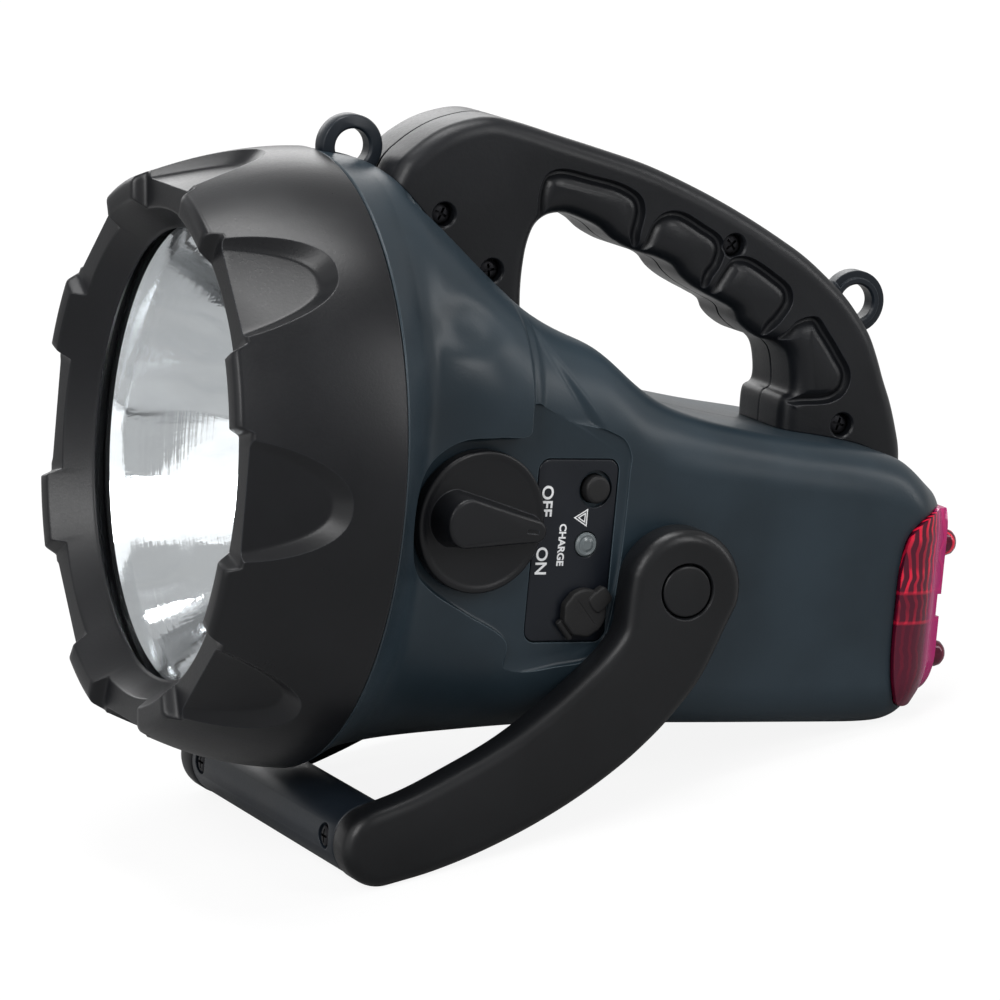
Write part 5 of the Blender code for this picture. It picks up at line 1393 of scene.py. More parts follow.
    def build(self) -> None:
        """Make every piece of the head."""
        Piece("bezel_ring", Body.LAMP, Finish.BLACK_SATIN, ("bezel",)).settle(self.bezel())
        Piece("lens_disc", Body.LAMP, Finish.CLEAR, ("front_lens",)).settle(self.lens())
        Piece("reflector_dish", Body.LAMP, Finish.MIRROR, ("reflector",), 40).settle(
            self.reflector())
        Piece("bulb_capsule", Body.LAMP, Finish.LAMP_GLASS, ("bulb_glass",)).settle(self.bulb())
        Piece("bulb_flange", Body.LAMP, Finish.BRASS, ("bulb_base",)).settle(self.bulb_base())
        Piece("gasket_ring", Body.LAMP, Finish.RUBBER, ("lens_gasket",)).settle(self.gasket())
        Finish.WHITE.dress("bulb_socket")


# ---------------------------------------------------------------- body

@dataclass
class Shells:
    """The two grey halves of the body."""

    wall: float = 2.8
    stations: int = 150
    front: float = 0.45
    front_share: float = 0.9945
    shoulder: float = 70.0
    tail_start: float = 160.0
    panel_backing: float = 3.2
    boss_face: float = 48.3
    boss_radius: float = 12.0
    skirt: Pairs = (
        (30.0, 0), (30.0, 16.0), (44.5, 15.4), (46.2, 13.2), (46.9, 12.2), (46.9, 0))
    eyelet_slot: Pair = (9.8, 7.3)
    slot_half: float = 3.1
    well_radius: float = 3.1
    well_tube: float = 4.2
    well_floor: float = 9.0
    tail_corner: Pair = (157.5, -3.0)
    tail_reach: Pair = (14.5, 52.5)
    tail_end: float = 180.0
    tail: Pairs = (
        (0.86, 0.00), (0.45, 0.05), (0.13, 0.14), (0.02, 0.28), (0.00, 0.50),
        (0.02, 0.76), (0.12, 0.92), (0.30, 1.00), (0.86, 1.00))
    wells: Pairs = ((42, -55), (60, 26), (100, 3), (140, -2))
    pocket: Pair = (23.0, 65.0)
    pocket_way: Pair = (0.766, 0.643)
    pocket_reach: Pair = (8.4, 6.2)
    pocket_depths: Pair = (1.6, 1.8)
    pad_height: float = 1.7
    dent: Pair = (25.5, 42.0)
    dent_reach: Pair = (11.5, 6.8)
    dent_depth: float = 1.3
    facet_corners: Pairs = ((46.6, 44.5), (44.8, 16.0), (67.5, 16.0))
    facet_depth: float = 1.5
    facet_edge: float = 3.0
    panel_walls: Pairs = (
        (0.0, 1.0), (-0.14, 0.5), (-0.45, 0.16), (-0.95, 0.0), (-6.0, -0.9), (-30.0, -4.5))

    def tail_outline(self, grow: float) -> Shape:
        """Return the tail lens's outline from the side, open to the rear, grown by grow.

        Args:
            grow: How far it grows.

        Returns:
            The outline's points.
        """
        (x, z), (long, deep) = self.tail_corner, self.tail_reach
        curve = smooth([(x + a * long, z - d * deep) for a, d in self.tail], 0.6, closed=False)
        closed = np.vstack([curve, [(self.tail_end, z - deep), (self.tail_end, z)]])
        return closed - inward(closed) * grow

    def relief(self, points: Shape, side: Side) -> Shape:
        """Press and raise the outer surface: handle pockets, and the left side's pad and facet.

        Args:
            points: The outer surface's points.
            side: The side of the lamp.

        Returns:
            The points in their new places.
        """
        x, y, z = points[..., 0], points[..., 1], points[..., 2]
        dx, dz, (c, s) = x - self.pocket[0], z - self.pocket[1], self.pocket_way
        du, dv = (dx * c - dz * s) / self.pocket_reach[0], (dx * s + dz * c) / self.pocket_reach[1]
        root = eased((1.25 - np.hypot(du, dv)) / 0.4)
        root = root * eased((-y - 15.1) / 3.6) * eased((28 + y) / 4)
        new = points.copy()
        new[..., 1] += self.pocket_depths[0] * root
        new[..., 2] -= self.pocket_depths[1] * root
        if side is Side.RIGHT:
            return new
        outward = eased((-y - 18) / 14)
        lift = self.pad_height * (eased((x - 15) / 20) * eased((44.4 - x) / 1.5)
                                  * eased((z - 6) / 8) * eased((53 - z) / 16))
        du = (x - self.dent[0]) / self.dent_reach[0]
        dv = (z - self.dent[1]) / self.dent_reach[1]
        oval = np.sqrt(du ** 2 + dv ** 2 + 0.3 * du * dv)
        dent = self.dent_depth * eased((1.2 - oval) / 0.85) * eased((x - 11) / 7)
        corners = np.array(self.facet_corners)
        depth = np.full(x.shape, FAR)
        for first, second in zip(corners, np.roll(corners, -1, axis=0)):
            run = (second - first) / np.linalg.norm(second - first)
            depth = np.minimum(depth, (x - first[0]) * -run[1] + (z - first[1]) * run[0])
        facet = self.facet_depth * eased(depth / self.facet_edge)
        new[..., 1] -= outward * (lift - dent - facet)
        return new

    def outer(self, side: Side) -> Item:
        """Return the outer form of one half as a solid closed by the seam plane.

        Args:
            side: The side of the lamp.

        Returns:
            The solid.
        """
        x = np.concatenate([[0], np.linspace(self.front, self.shoulder, self.stations),
                            np.linspace(self.shoulder, self.tail_start, 60)[1:],
                            np.linspace(self.tail_start, FORM.length, 20)[1:]])
        rings = self.relief(FORM.half_rings(x, 0.0, 1.35), side)
        rings[0, :, 1:] *= self.front_share
        rings[..., 1] = np.minimum(rings[..., 1], -SEAM) * -side
        return loft(rings)

    def half(self, side: Side) -> Item:
        """Build one half with its pockets, wells and pivot boss.

        Args:
            side: The side of the lamp.

        Returns:
            The shell.
        """
        shell = self.outer(side)
        hollow = FORM.solid(-self.wall, -6.0, 60, 0.5)
        if side is Side.LEFT:
            outline = PANEL.outline(1.5)
            grown = outline - inward(outline) * 4.0
            backing = slab(grown, [(self.panel_backing, 0), (-30.0, 0)])
            cut(hollow, moved(backing, PANEL.matrix()))
        else:
            for x, z in self.wells:
                cut(hollow, moved(disc(7.0, 80.0, self.well_tube, 0.2, 24), across(x, z, side)))
        cut(shell, hollow)
        pivot = across(PIVOT.x, PIVOT.z, side)
        weld(shell, moved(disc(30.0, self.boss_face, self.boss_radius, 0.8), pivot),
             moved(lathe(self.skirt, 64), pivot))
        cut(shell, slab(self.tail_outline(0.0), [(-90, 0), (90, 0)]))
        middle, reach = self.eyelet_slot
        cut(shell, block((middle - reach, -self.slot_half, 60),
                         (middle + reach, self.slot_half, 100)))
        if side is Side.LEFT:
            self.open_panel(shell)
        else:
            for x, z in self.wells:
                well = disc(self.well_floor, 90.0, self.well_radius, 0.1, 40)
                cut(shell, moved(well, across(x, z, side)))
        return shell

    def open_panel(self, shell: Item) -> None:
        """Cut the control panel's pocket and the plate's seat.

        Args:
            shell: The left shell.
        """
        pocket = slab(PANEL.outline(), self.panel_walls)
        cut(shell, moved(pocket, PANEL.matrix()))
        width, height = Controls.plate_size
        seat = rounded_box(Controls.plate_centre, width + 2 * GAP, height + 2 * GAP,
                           Controls.plate_corner + GAP)
        cut(shell, moved(slab(seat, [(1.3, 0), (-8, 0)]), PANEL.matrix()))
        cut(shell, *Controls().holes(Controls.button_bore, -9))

    def build(self) -> None:
        """Make both halves."""
        for side in Side:
            piece = Piece(f"body_shell_{side.word}", Body.LAMP, Finish.BLUE_GREY,
                          (f"body_{side.word}",))
            piece.settle(self.half(side))


# ---------------------------------------------------------------- handle

@dataclass
class Handle:
    """The two black halves of the handle, with their grip pads, and the strap eyelets."""

    span: float = 172.0
    rise: float = 91.5
    half_width: float = 15.0
    rounding: float = 4.6
    outer: Pairs = (
        (0.093, 0.644), (0.109, 0.847), (0.137, 0.907), (0.180, 0.962), (0.223, 0.991),
        (0.256, 1.000), (0.297, 0.988), (0.365, 0.957), (0.442, 0.922), (0.520, 0.883),
        (0.612, 0.819), (0.687, 0.756), (0.753, 0.692), (0.799, 0.642), (0.843, 0.581),
        (0.872, 0.536), (0.895, 0.490), (0.922, 0.424), (0.939, 0.361), (0.953, 0.298),
        (0.970, 0.227), (0.983, 0.158), (0.992, 0.098), (0.995, 0.044), (0.995, -0.040))
    under: Pairs = (
        (0.779, -0.040), (0.779, 0.120), (0.781, 0.230), (0.793, 0.247), (0.791, 0.317),
        (0.781, 0.365), (0.759, 0.393), (0.735, 0.400), (0.713, 0.420), (0.695, 0.448),
        (0.686, 0.477), (0.660, 0.502), (0.635, 0.522), (0.610, 0.545), (0.591, 0.570),
        (0.576, 0.599), (0.549, 0.620), (0.523, 0.631), (0.497, 0.645), (0.470, 0.669),
        (0.448, 0.699), (0.416, 0.723), (0.384, 0.737), (0.358, 0.728), (0.341, 0.702),
        (0.331, 0.650), (0.327, 0.579), (0.327, 0.514), (0.330, 0.437), (0.332, 0.302))
    pads: tuple[Pairs, ...] = (
        ((58.8, 66.9), (58.7, 73.2), (59.9, 76.7), (63.2, 78.1), (72.0, 76.8), (81.4, 74.7),
         (85.8, 72.2), (87.0, 69.2), (86.2, 63.2), (86.0, 57.0), (72.0, 58.0), (60.0, 60.0)),
        ((89.9, 61.3), (91.7, 66.0), (94.5, 68.2), (98.2, 68.5), (105.4, 65.2), (109.8, 62.6),
         (111.0, 60.0), (110.0, 55.9), (108.2, 53.1), (106.0, 47.0), (92.0, 51.0), (88.8, 56.5)),
        ((112.9, 54.0), (115.3, 57.1), (119.1, 57.3), (127.2, 53.2), (131.5, 50.0), (132.2, 47.1),
         (129.9, 42.8), (127.6, 40.2), (123.0, 35.0), (112.0, 41.0), (110.5, 48.5)),
        ((133.4, 38.7), (136.2, 41.3), (140.6, 42.2), (143.5, 39.1), (147.9, 33.6), (151.4, 28.1),
         (150.5, 24.0), (147.6, 21.9), (140.0, 21.0), (133.0, 21.2), (129.5, 29.0), (130.5, 36.0)))
    groove: Pairs = (
        (-1.35, 3.0), (-1.25, 0.15), (-1.05, -0.55), (-0.75, -1.35), (-0.3, -1.85), (0.2, -1.9),
        (0.7, -1.55), (1.2, -0.95), (1.8, -0.45), (2.6, -0.1), (3.2, 0.15), (3.2, 3.0))
    wells: Pairs = ((31.5, 66), (46.2, 52), (114.8, 61.2), (151.4, 14.7))
    well: Pairs = (
        (-30, 0), (-30, 3.7), (-15.2, 3.7), (-14.4, 3.05), (-10.5, 3.05), (-10.5, 0))
    ring_radius: float = 8.42
    ring_half: float = 2.8
    ring_bore: Pairs = (
        (-6, 0), (-6, 5.4), (-2.85, 5.4), (-2.2, 4.75), (2.2, 4.75), (2.85, 5.4), (6, 5.4), (6, 0))
    ring_step: Pairs = ((1.9, 6.5), (4, 6.5), (4, 9.6), (1.9, 9.6))
    stem: Triple = (7.0, 8.8, 2.4)
    front_eyelet: Triple = (9.8, 0, 80.9)
    rear_eyelet: Triple = (158.6, 0, 46.0)
    rear_tilt: float = math.radians(52)

    def outline(self) -> Shape:
        """Return the handle's closed outline in the plane of symmetry."""
        return smooth([(a * self.span, u * self.rise) for a, u in self.outer + self.under], 0.7)

    def half(self, side: Side) -> Item:
        """Build one half, seated on the body's form.

        Args:
            side: The side of the lamp.

        Returns:
            The handle's half.
        """
        levels = [(SEAM, 0.35), (0.5, 0.0)]
        levels += edge_levels(0.5, self.half_width, self.rounding, 9)
        solid = slab(self.outline(), [(side * y, inset) for y, inset in levels])
        cut(solid, FORM.solid(SEAM, -6.0, 70, 0.6))
        for shape in self.pads:
            cut(solid, self.channel(smooth(shape, 0.45), side))
        if side is Side.LEFT:
            for x, z in self.wells:
                cut(solid, moved(lathe(self.well, 48), across(x, z, Side.RIGHT)))
        return solid

    def channel(self, outline: Shape, side: Side) -> Item:
        """Build the cutter of the groove round a grip pad, gentle on the pad's side.

        Args:
            outline: The pad's outline.
            side: The side of the lamp.

        Returns:
            The cutter.
        """
        normals = inward(outline)
        reach = room(outline, normals)
        rows = []
        for inset, height in self.groove + self.groove[:1]:
            flat = outline + normals * np.minimum(inset, reach)[:, None]
            y = np.full(len(flat), side * (self.half_width + height))
            rows.append(np.column_stack([flat[:, 0], y, flat[:, 1]]))
        rings = np.stack(rows)
        return sew(sheet(np.concatenate([rings, rings[:, :1]], axis=1)), fill=False)

    def eyelet(self, neck_length: float, step: bool) -> Item:
        """Build an eyelet on its stem: an arch with straight legs and a ring round its hole.

        Args:
            neck_length: How far the stem reaches.
            step: Whether the hole has a stepped ring.

        Returns:
            The eyelet, upright.
        """
        arch = arc((0, 0), self.ring_radius, -34, 214, 48)
        narrow, wide, foot = self.stem
        legs = np.array([(-narrow, -neck_length), (-wide, -neck_length),
                         (-wide, -neck_length - foot), (wide, -neck_length - foot),
                         (wide, -neck_length), (narrow, -neck_length)])
        outline = spaced(np.vstack([arch, legs, arch[:1]]), 0.5)
        levels = [(-self.ring_half, 0.7), (-2.6, 0.3), (-2.1, 0.0),
                  *edge_levels(-2.1, self.ring_half, 0.7, 4)]
        tab = slab(outline, levels)
        cut(tab, moved(lathe(self.ring_bore, 56), Matrix.Rotation(math.pi / 2, 4, "Z")))
        if step:
            for way in (1, -1):
                tool = moved(lathe(self.ring_step, 56, closed=True),
                             Matrix.Rotation(way * math.pi / 2, 4, "Z"))
                cut(tool, block((-12, -12, -12), (12, 12, -2.0)))
                cut(tab, tool)
        return tab

    def build(self) -> None:
        """Make the handle's halves and the eyelets."""
        for side in Side:
            piece = Piece(f"handle_shell_{side.word}", Body.LAMP, Finish.BLACK_GRIP,
                          (f"handle_{side.word}",))
            piece.settle(self.half(side))
        front = moved(self.eyelet(8.0, False), Matrix.Translation(self.front_eyelet))
        Piece("eyelet_front_tab", Body.LAMP, Finish.BLUE_DARK, ("eyelet_front",)).settle(front)
        place = Matrix.Translation(self.rear_eyelet) @ Matrix.Rotation(self.rear_tilt, 4, "Y")
        rear = moved(self.eyelet(8.8, True), place)
        Piece("eyelet_rear_tab", Body.LAMP, Finish.BLUE_DARK, ("eyelet_rear",)).settle(rear)


# ---------------------------------------------------------------- fasteners

@dataclass
class Screws:
    """The pan-head screws in the handle's, body's and bar's wells."""

    head_radius: float = 2.7
    head_height: float = 2.0
    shank_radius: float = 1.5
    blade: tuple[Triple, Triple] = ((-0.5, -1.75, -0.34), (1.15, 1.75, 0.34))
    shank_length: float = 22.5
    bar_shank_length: float = 9.0
    handle_floor: float = -10.8
    body_floor: float = 9.3
    bar_floor: float = 1.0

    def one(self, length: float) -> Item:
        """Build a screw along X: its head's face at 0 and its shank towards +X.

        Args:
            length: The shank's length.

        Returns:
            The screw.
        """
        r, h = self.head_radius, self.head_height
        dome = [(0.0, 0), (0.0, r * 0.45), (0.12, r * 0.72), (0.4, r * 0.93), (0.85, r), (h, r)]
        item = lathe([*dome, (h, self.shank_radius), (h + length - 1.0, self.shank_radius),
                      (h + length, 0.5), (h + length, 0)], 40)
        for turn in (0, 90):
            cut(item, moved(block(*self.blade), Matrix.Rotation(math.radians(turn), 4, "X")))
        return item

    def build(self) -> None:
        """Make each screw at its own place, with its recess turned its own way."""
        rows = (("handle", Side.LEFT, Handle.wells, self.handle_floor, 0.4, Finish.DULL_STEEL),
                ("body", Side.RIGHT, Shells.wells, self.body_floor, 0.9, Finish.ZINC))
        for word, side, wells, floor, start, finish in rows:
            for i, (x, z) in enumerate(wells):
                turned = (Matrix.Rotation(-side * math.pi / 2, 4, "Z")
                          @ Matrix.Rotation(start + i, 4, "X"))
                place = Matrix.Translation((x, floor + side * self.head_height, z))
                item = moved(self.one(self.shank_length), place @ turned)
                Piece(f"{word}_screw_pan_{i + 1}", Body.LAMP, finish,
                      (f"{word}_screw_{i + 1}",)).settle(item)
        for side in Side:
            place = Matrix.Translation((self.bar_floor, side * Bail.screw_spread, Bail.bar[1]))
            item = moved(self.one(self.bar_shank_length), place)
            Piece(f"bail_screw_pan_{side.word}", Body.BAIL, Finish.DULL_STEEL,
                  (f"bail_screw_{side.word}",)).settle(item)


# ---------------------------------------------------------------- controls

@dataclass
class Controls:
    """The label plate with its lettering, the knob, the button, the light and the socket's cap."""

    plate_centre: Pair = (29.2, -7.9)
    plate_size: Pair = (23.4, 47.0)
    plate_corner: float = 3.0
    knob_radius: float = 18.3
    knob_thickness: float = 3.4
    pointer_angle: float = math.radians(-7)
    pointer_back: Pair = (-7.7, 6.6)
    pointer_tip: Pair = (13.9, 3.0)
    pointer_heights: Pair = (8.0, 4.4)
    pointer_mark: tuple[Triple, Triple] = ((10.6, -9.5, -0.55), (14.2, -8.05, 0.55))
    button: Pair = (34.6, 8.0)
    light: Pair = (33.2, -6.3)
    jack: Pair = (33.4, -23.6)
    button_bore: float = 3.9
    button_seat: float = 4.8
    light_bore: float = 3.4
    jack_bore: float = 4.7
    button_foot: Pairs = (
        (-4.5, 0), (-4.5, 4.8), (-3.5, 4.8), (-3.5, 3.6), (0.7, 3.6))
    button_radius: float = 3.6
    button_heights: Pair = (0.7, 1.8)
    light_lens: Pairs = (
        (-8.7, 0), (-8.7, 3.1), (0.25, 3.1), (0.7, 2.6), (0.55, 2.0), (0.88, 1.2), (0.72, 0.0))
    cap_direction: float = math.radians(42)
    cap_radius: float = 6.4
    cap_height: float = 2.7
    cap_tab: Pairs = (
        (2.6, -2.2), (6.0, -2.5), (8.0, -2.0), (8.3, 0), (8.0, 2.0), (6.0, 2.5), (2.6, 2.2))
    words: tuple[tuple[str, float, float, float], ...] = (
        ("OFF", 20.4, 4.9, 4.6), ("ON", 20.3, -10.6, 4.6), ("CHARGE", 25.9, -6.4, 2.75))
    stroke: float = 0.09
    ink: float = 0.05
    sign: Pair = (31.6, 0.6)
    sign_rings: Pairs = ((2.7, 0.3), (1.55, 0.28))

    def plate(self) -> Item:
        """Build the label plate with its holes.

        Returns:
            The plate.
        """
        outline = rounded_box(self.plate_centre, *self.plate_size, self.plate_corner)
        plate = slab(spaced(np.vstack([outline, outline[:1]]), 0.5),
                     [(1.0, 0), *edge_levels(1.0, 0.0, 0.3, 3)])
        moved(plate, PANEL.matrix())
        return cut(plate, *self.holes(self.button_seat, -6))

    def holes(self, button: float, low: float) -> list[Item]:
        """Build the cutters of the panel's three round holes, from low under its face."""
        rows = ((self.button, button), (self.light, self.light_bore), (self.jack, self.jack_bore))
        return [moved(disc(low, 6, radius, 0.1, 56), PANEL.at(*place)) for place, radius in rows]

    def knob(self) -> Item:
        """Build the knob: a disc with a rounded rim line and a raised tapering pointer.

        Returns:
            The knob in its place.
        """
        top = GAP + self.knob_thickness
        r = self.knob_radius
        rim = [(x, r - inset) for x, inset in edge_levels(GAP, top, 0.9, 6)]
        face = [(top - 0.02, r - 1.5), (top - 0.22, r - 1.9), (top - 0.28, r - 2.5),
                (top - 0.18, r * 0.5)]
        dial = moved(lathe([(GAP, 0), (GAP, r), *rim, *face, (top - 0.15, 0)], 128),
                     Matrix.Rotation(-math.pi / 2, 4, "Z"))
        turn = Matrix.Rotation(-self.pointer_angle, 4, "Y")
        weld(dial, moved(self.pointer(top), turn))
        cut(dial, moved(block(*self.pointer_mark), turn))
        return moved(dial, PANEL.matrix())

    def pointer(self, top: float) -> Item:
        """Build the knob's pointer, drafted and round at its upper edge, from the dial's top.

        Args:
            top: The height of the dial's face.

        Returns:
            The pointer, unturned.
        """
        back, tip = self.pointer_back, self.pointer_tip
        high, low = self.pointer_heights
        sides = np.vstack([arc((back[0], 0), back[1], 98, 262, 30),
                           arc((tip[0], 0), tip[1], -82, 82, 18)])
        outline = spaced(np.vstack([sides, sides[:1]]), 0.35)
        normals = inward(outline)
        reach = room(outline, normals)
        along = np.clip((outline[:, 0] - back[0]) / (tip[0] - back[0]), 0, 1)
        height = top + high + (low - high) * eased(along * 0.9 + 0.05)
        foot = top - 1.7
        rings = [(foot + (height - 1.0 - foot) * share, inset) for share, inset in (
            (0.0, -0.9), (0.25, -0.8), (0.45, -0.35), (0.8, 0.0), (1.0, 0.1))]
        rings += [(height - 1.0 * (1 - math.sin(a)), 0.1 + 1.0 * (1 - math.cos(a)))
                  for a in np.radians(np.linspace(15, 90, 6))]
        stack = []
        for w, inset in rings:
            flat = outline + normals * np.minimum(inset, reach)[:, None]
            stack.append(np.column_stack([flat[:, 0], -np.broadcast_to(w, len(flat)), flat[:, 1]]))
        return loft(np.stack(stack))

    def cap(self) -> Item:
        """Build the rubber cap with its lobed edge, raised tab, hinge rib and stub.

        Returns:
            The cap in its place.
        """
        base, top, r = GAP, GAP + self.cap_height, self.cap_radius
        turns = np.radians(np.linspace(0, 360, 97)[:-1])
        bumps = 0.14 * np.cos(9 * turns) * (np.cos(turns - math.pi) > -0.1)
        outline = np.column_stack([np.cos(turns), np.sin(turns)]) * (r - 0.14 + bumps)[:, None]
        lid = slab(outline, [(-base, 0.2), (-base - 0.2, 0), *edge_levels(-base, -top, 0.7, 5),
                             (-top + 0.12, 2.0)])
        stub = moved(disc(base - 1.6, base + 0.5, 3.0, 0.1, 40),
                     Matrix.Rotation(-math.pi / 2, 4, "Z"))
        grip = slab(smooth(self.cap_tab, 0.3), [(-base - 0.7, 0.1), (-base - 1.0, 0),
                                                *edge_levels(-1.0, -top - 0.5, 0.5, 4)])
        rib = moved(lathe([(-3, 0), (-3, 0.7), (-2.8, 0.9), (2.8, 0.9), (3, 0.7), (3, 0)], 24),
                    Matrix.Translation((-6.8, -base - 0.9, 0))
                    @ Matrix.Rotation(math.pi / 2, 4, "Y"))
        web = block((-6.8, -base - 1.27, -2.6), (-3.0, -base - 0.53, 2.6))
        weld(lid, stub, grip, web, rib)
        frame_at = PANEL.matrix() @ Matrix.Translation((self.jack[0], 0, self.jack[1]))
        return moved(lid, frame_at @ Matrix.Rotation(-self.cap_direction, 4, "Y"))

    def word(self, text: str, u: float, v: float, size: float) -> Item:
        """Build a word on the plate, at (u, v), that reads downwards.

        Args:
            text: The word.
            u: Its middle along the panel.
            v: Its middle up the panel.
            size: The letters' size.

        Returns:
            The word's mesh.
        """
        only()
        bpy.ops.object.text_add()
        item = bpy.context.object
        item.data.body = text
        item.data.align_x, item.data.align_y = "CENTER", "CENTER"
        item.data.size, item.data.offset, item.data.extrude = size, self.stroke, self.ink
        item.data.resolution_u = 6
        only(item)
        bpy.ops.object.convert(target="MESH")
        item = sew(bpy.context.object, fill=False, distance=0.0001)
        turn = Matrix(((0, 1, 0, u), (0, 0, -1, 0.0), (-1, 0, 0, v), (0, 0, 0, 1)))
        return moved(item, PANEL.matrix() @ turn)

    def triangle(self) -> Item:
        """Build the double-line triangle, its point towards the knob.

        Returns:
            The triangle's mesh.
        """
        rings = []
        for radius, width in self.sign_rings:
            only()
            bpy.ops.mesh.primitive_circle_add(vertices=3, radius=radius, fill_type="NGON")
            item = bpy.context.object
            bpy.ops.object.mode_set(mode="EDIT")
            bpy.ops.mesh.select_all(action="SELECT")
            bpy.ops.mesh.inset(thickness=width)
            bpy.ops.mesh.delete(type="FACE")
            bpy.ops.mesh.select_all(action="SELECT")
            bpy.ops.mesh.extrude_region_move(
                TRANSFORM_OT_translate={"value": (0, 0, 2 * self.ink)})
            bpy.ops.mesh.select_all(action="SELECT")
            bpy.ops.mesh.normals_make_consistent(inside=False)
            bpy.ops.object.mode_set(mode="OBJECT")
            rings.append(moved(item, Matrix.Translation((0, 0, -self.ink))))
        u, v = self.sign
        turn = Matrix(((0, -1, 0, u), (0, 0, -1, 0.0), (1, 0, 0, v), (0, 0, 0, 1)))
        return moved(gathered(*rings), PANEL.matrix() @ turn)

    def build(self) -> None:
        """Make every piece of the panel."""
        Piece("plate_label", Body.LAMP, Finish.PLATE_DARK, ("label_plate",)).settle(self.plate())
        marks = [self.word(*row) for row in self.words] + [self.triangle()]
        Piece("plate_print", Body.LAMP, Finish.INK).settle(gathered(*marks))
        Piece("knob_dial", Body.KNOB, Finish.BLACK_SATIN, ("switch_knob",)).settle(self.knob())
        dome = [(x, self.button_radius - inset)
                for x, inset in edge_levels(*self.button_heights, 1.0, 6)]
        item = moved(lathe([*self.button_foot, *dome, (1.85, 1.4), (1.8, 0)], 64),
                     PANEL.at(*self.button))
        Piece("button_dome", Body.BUTTON, Finish.RUBBER, ("flash_button",)).settle(item)
        Piece("charge_light_lens", Body.LAMP, Finish.LED_CLEAR, ("charge_light",), 14).settle(
            moved(lathe(self.light_lens, 36), PANEL.at(*self.light)))
        Piece("socket_cap_rubber", Body.CAP, Finish.RUBBER, ("socket_cap",)).settle(self.cap())
        Finish.BRASS.dress("switch_shaft")
        Finish.WHITE.dress("rotary_switch")
        Finish.ZINC.dress("button_contact", "charge_jack")
        Finish.BOARD.dress("control_board")


# ---------------------------------------------------------------- bail stand

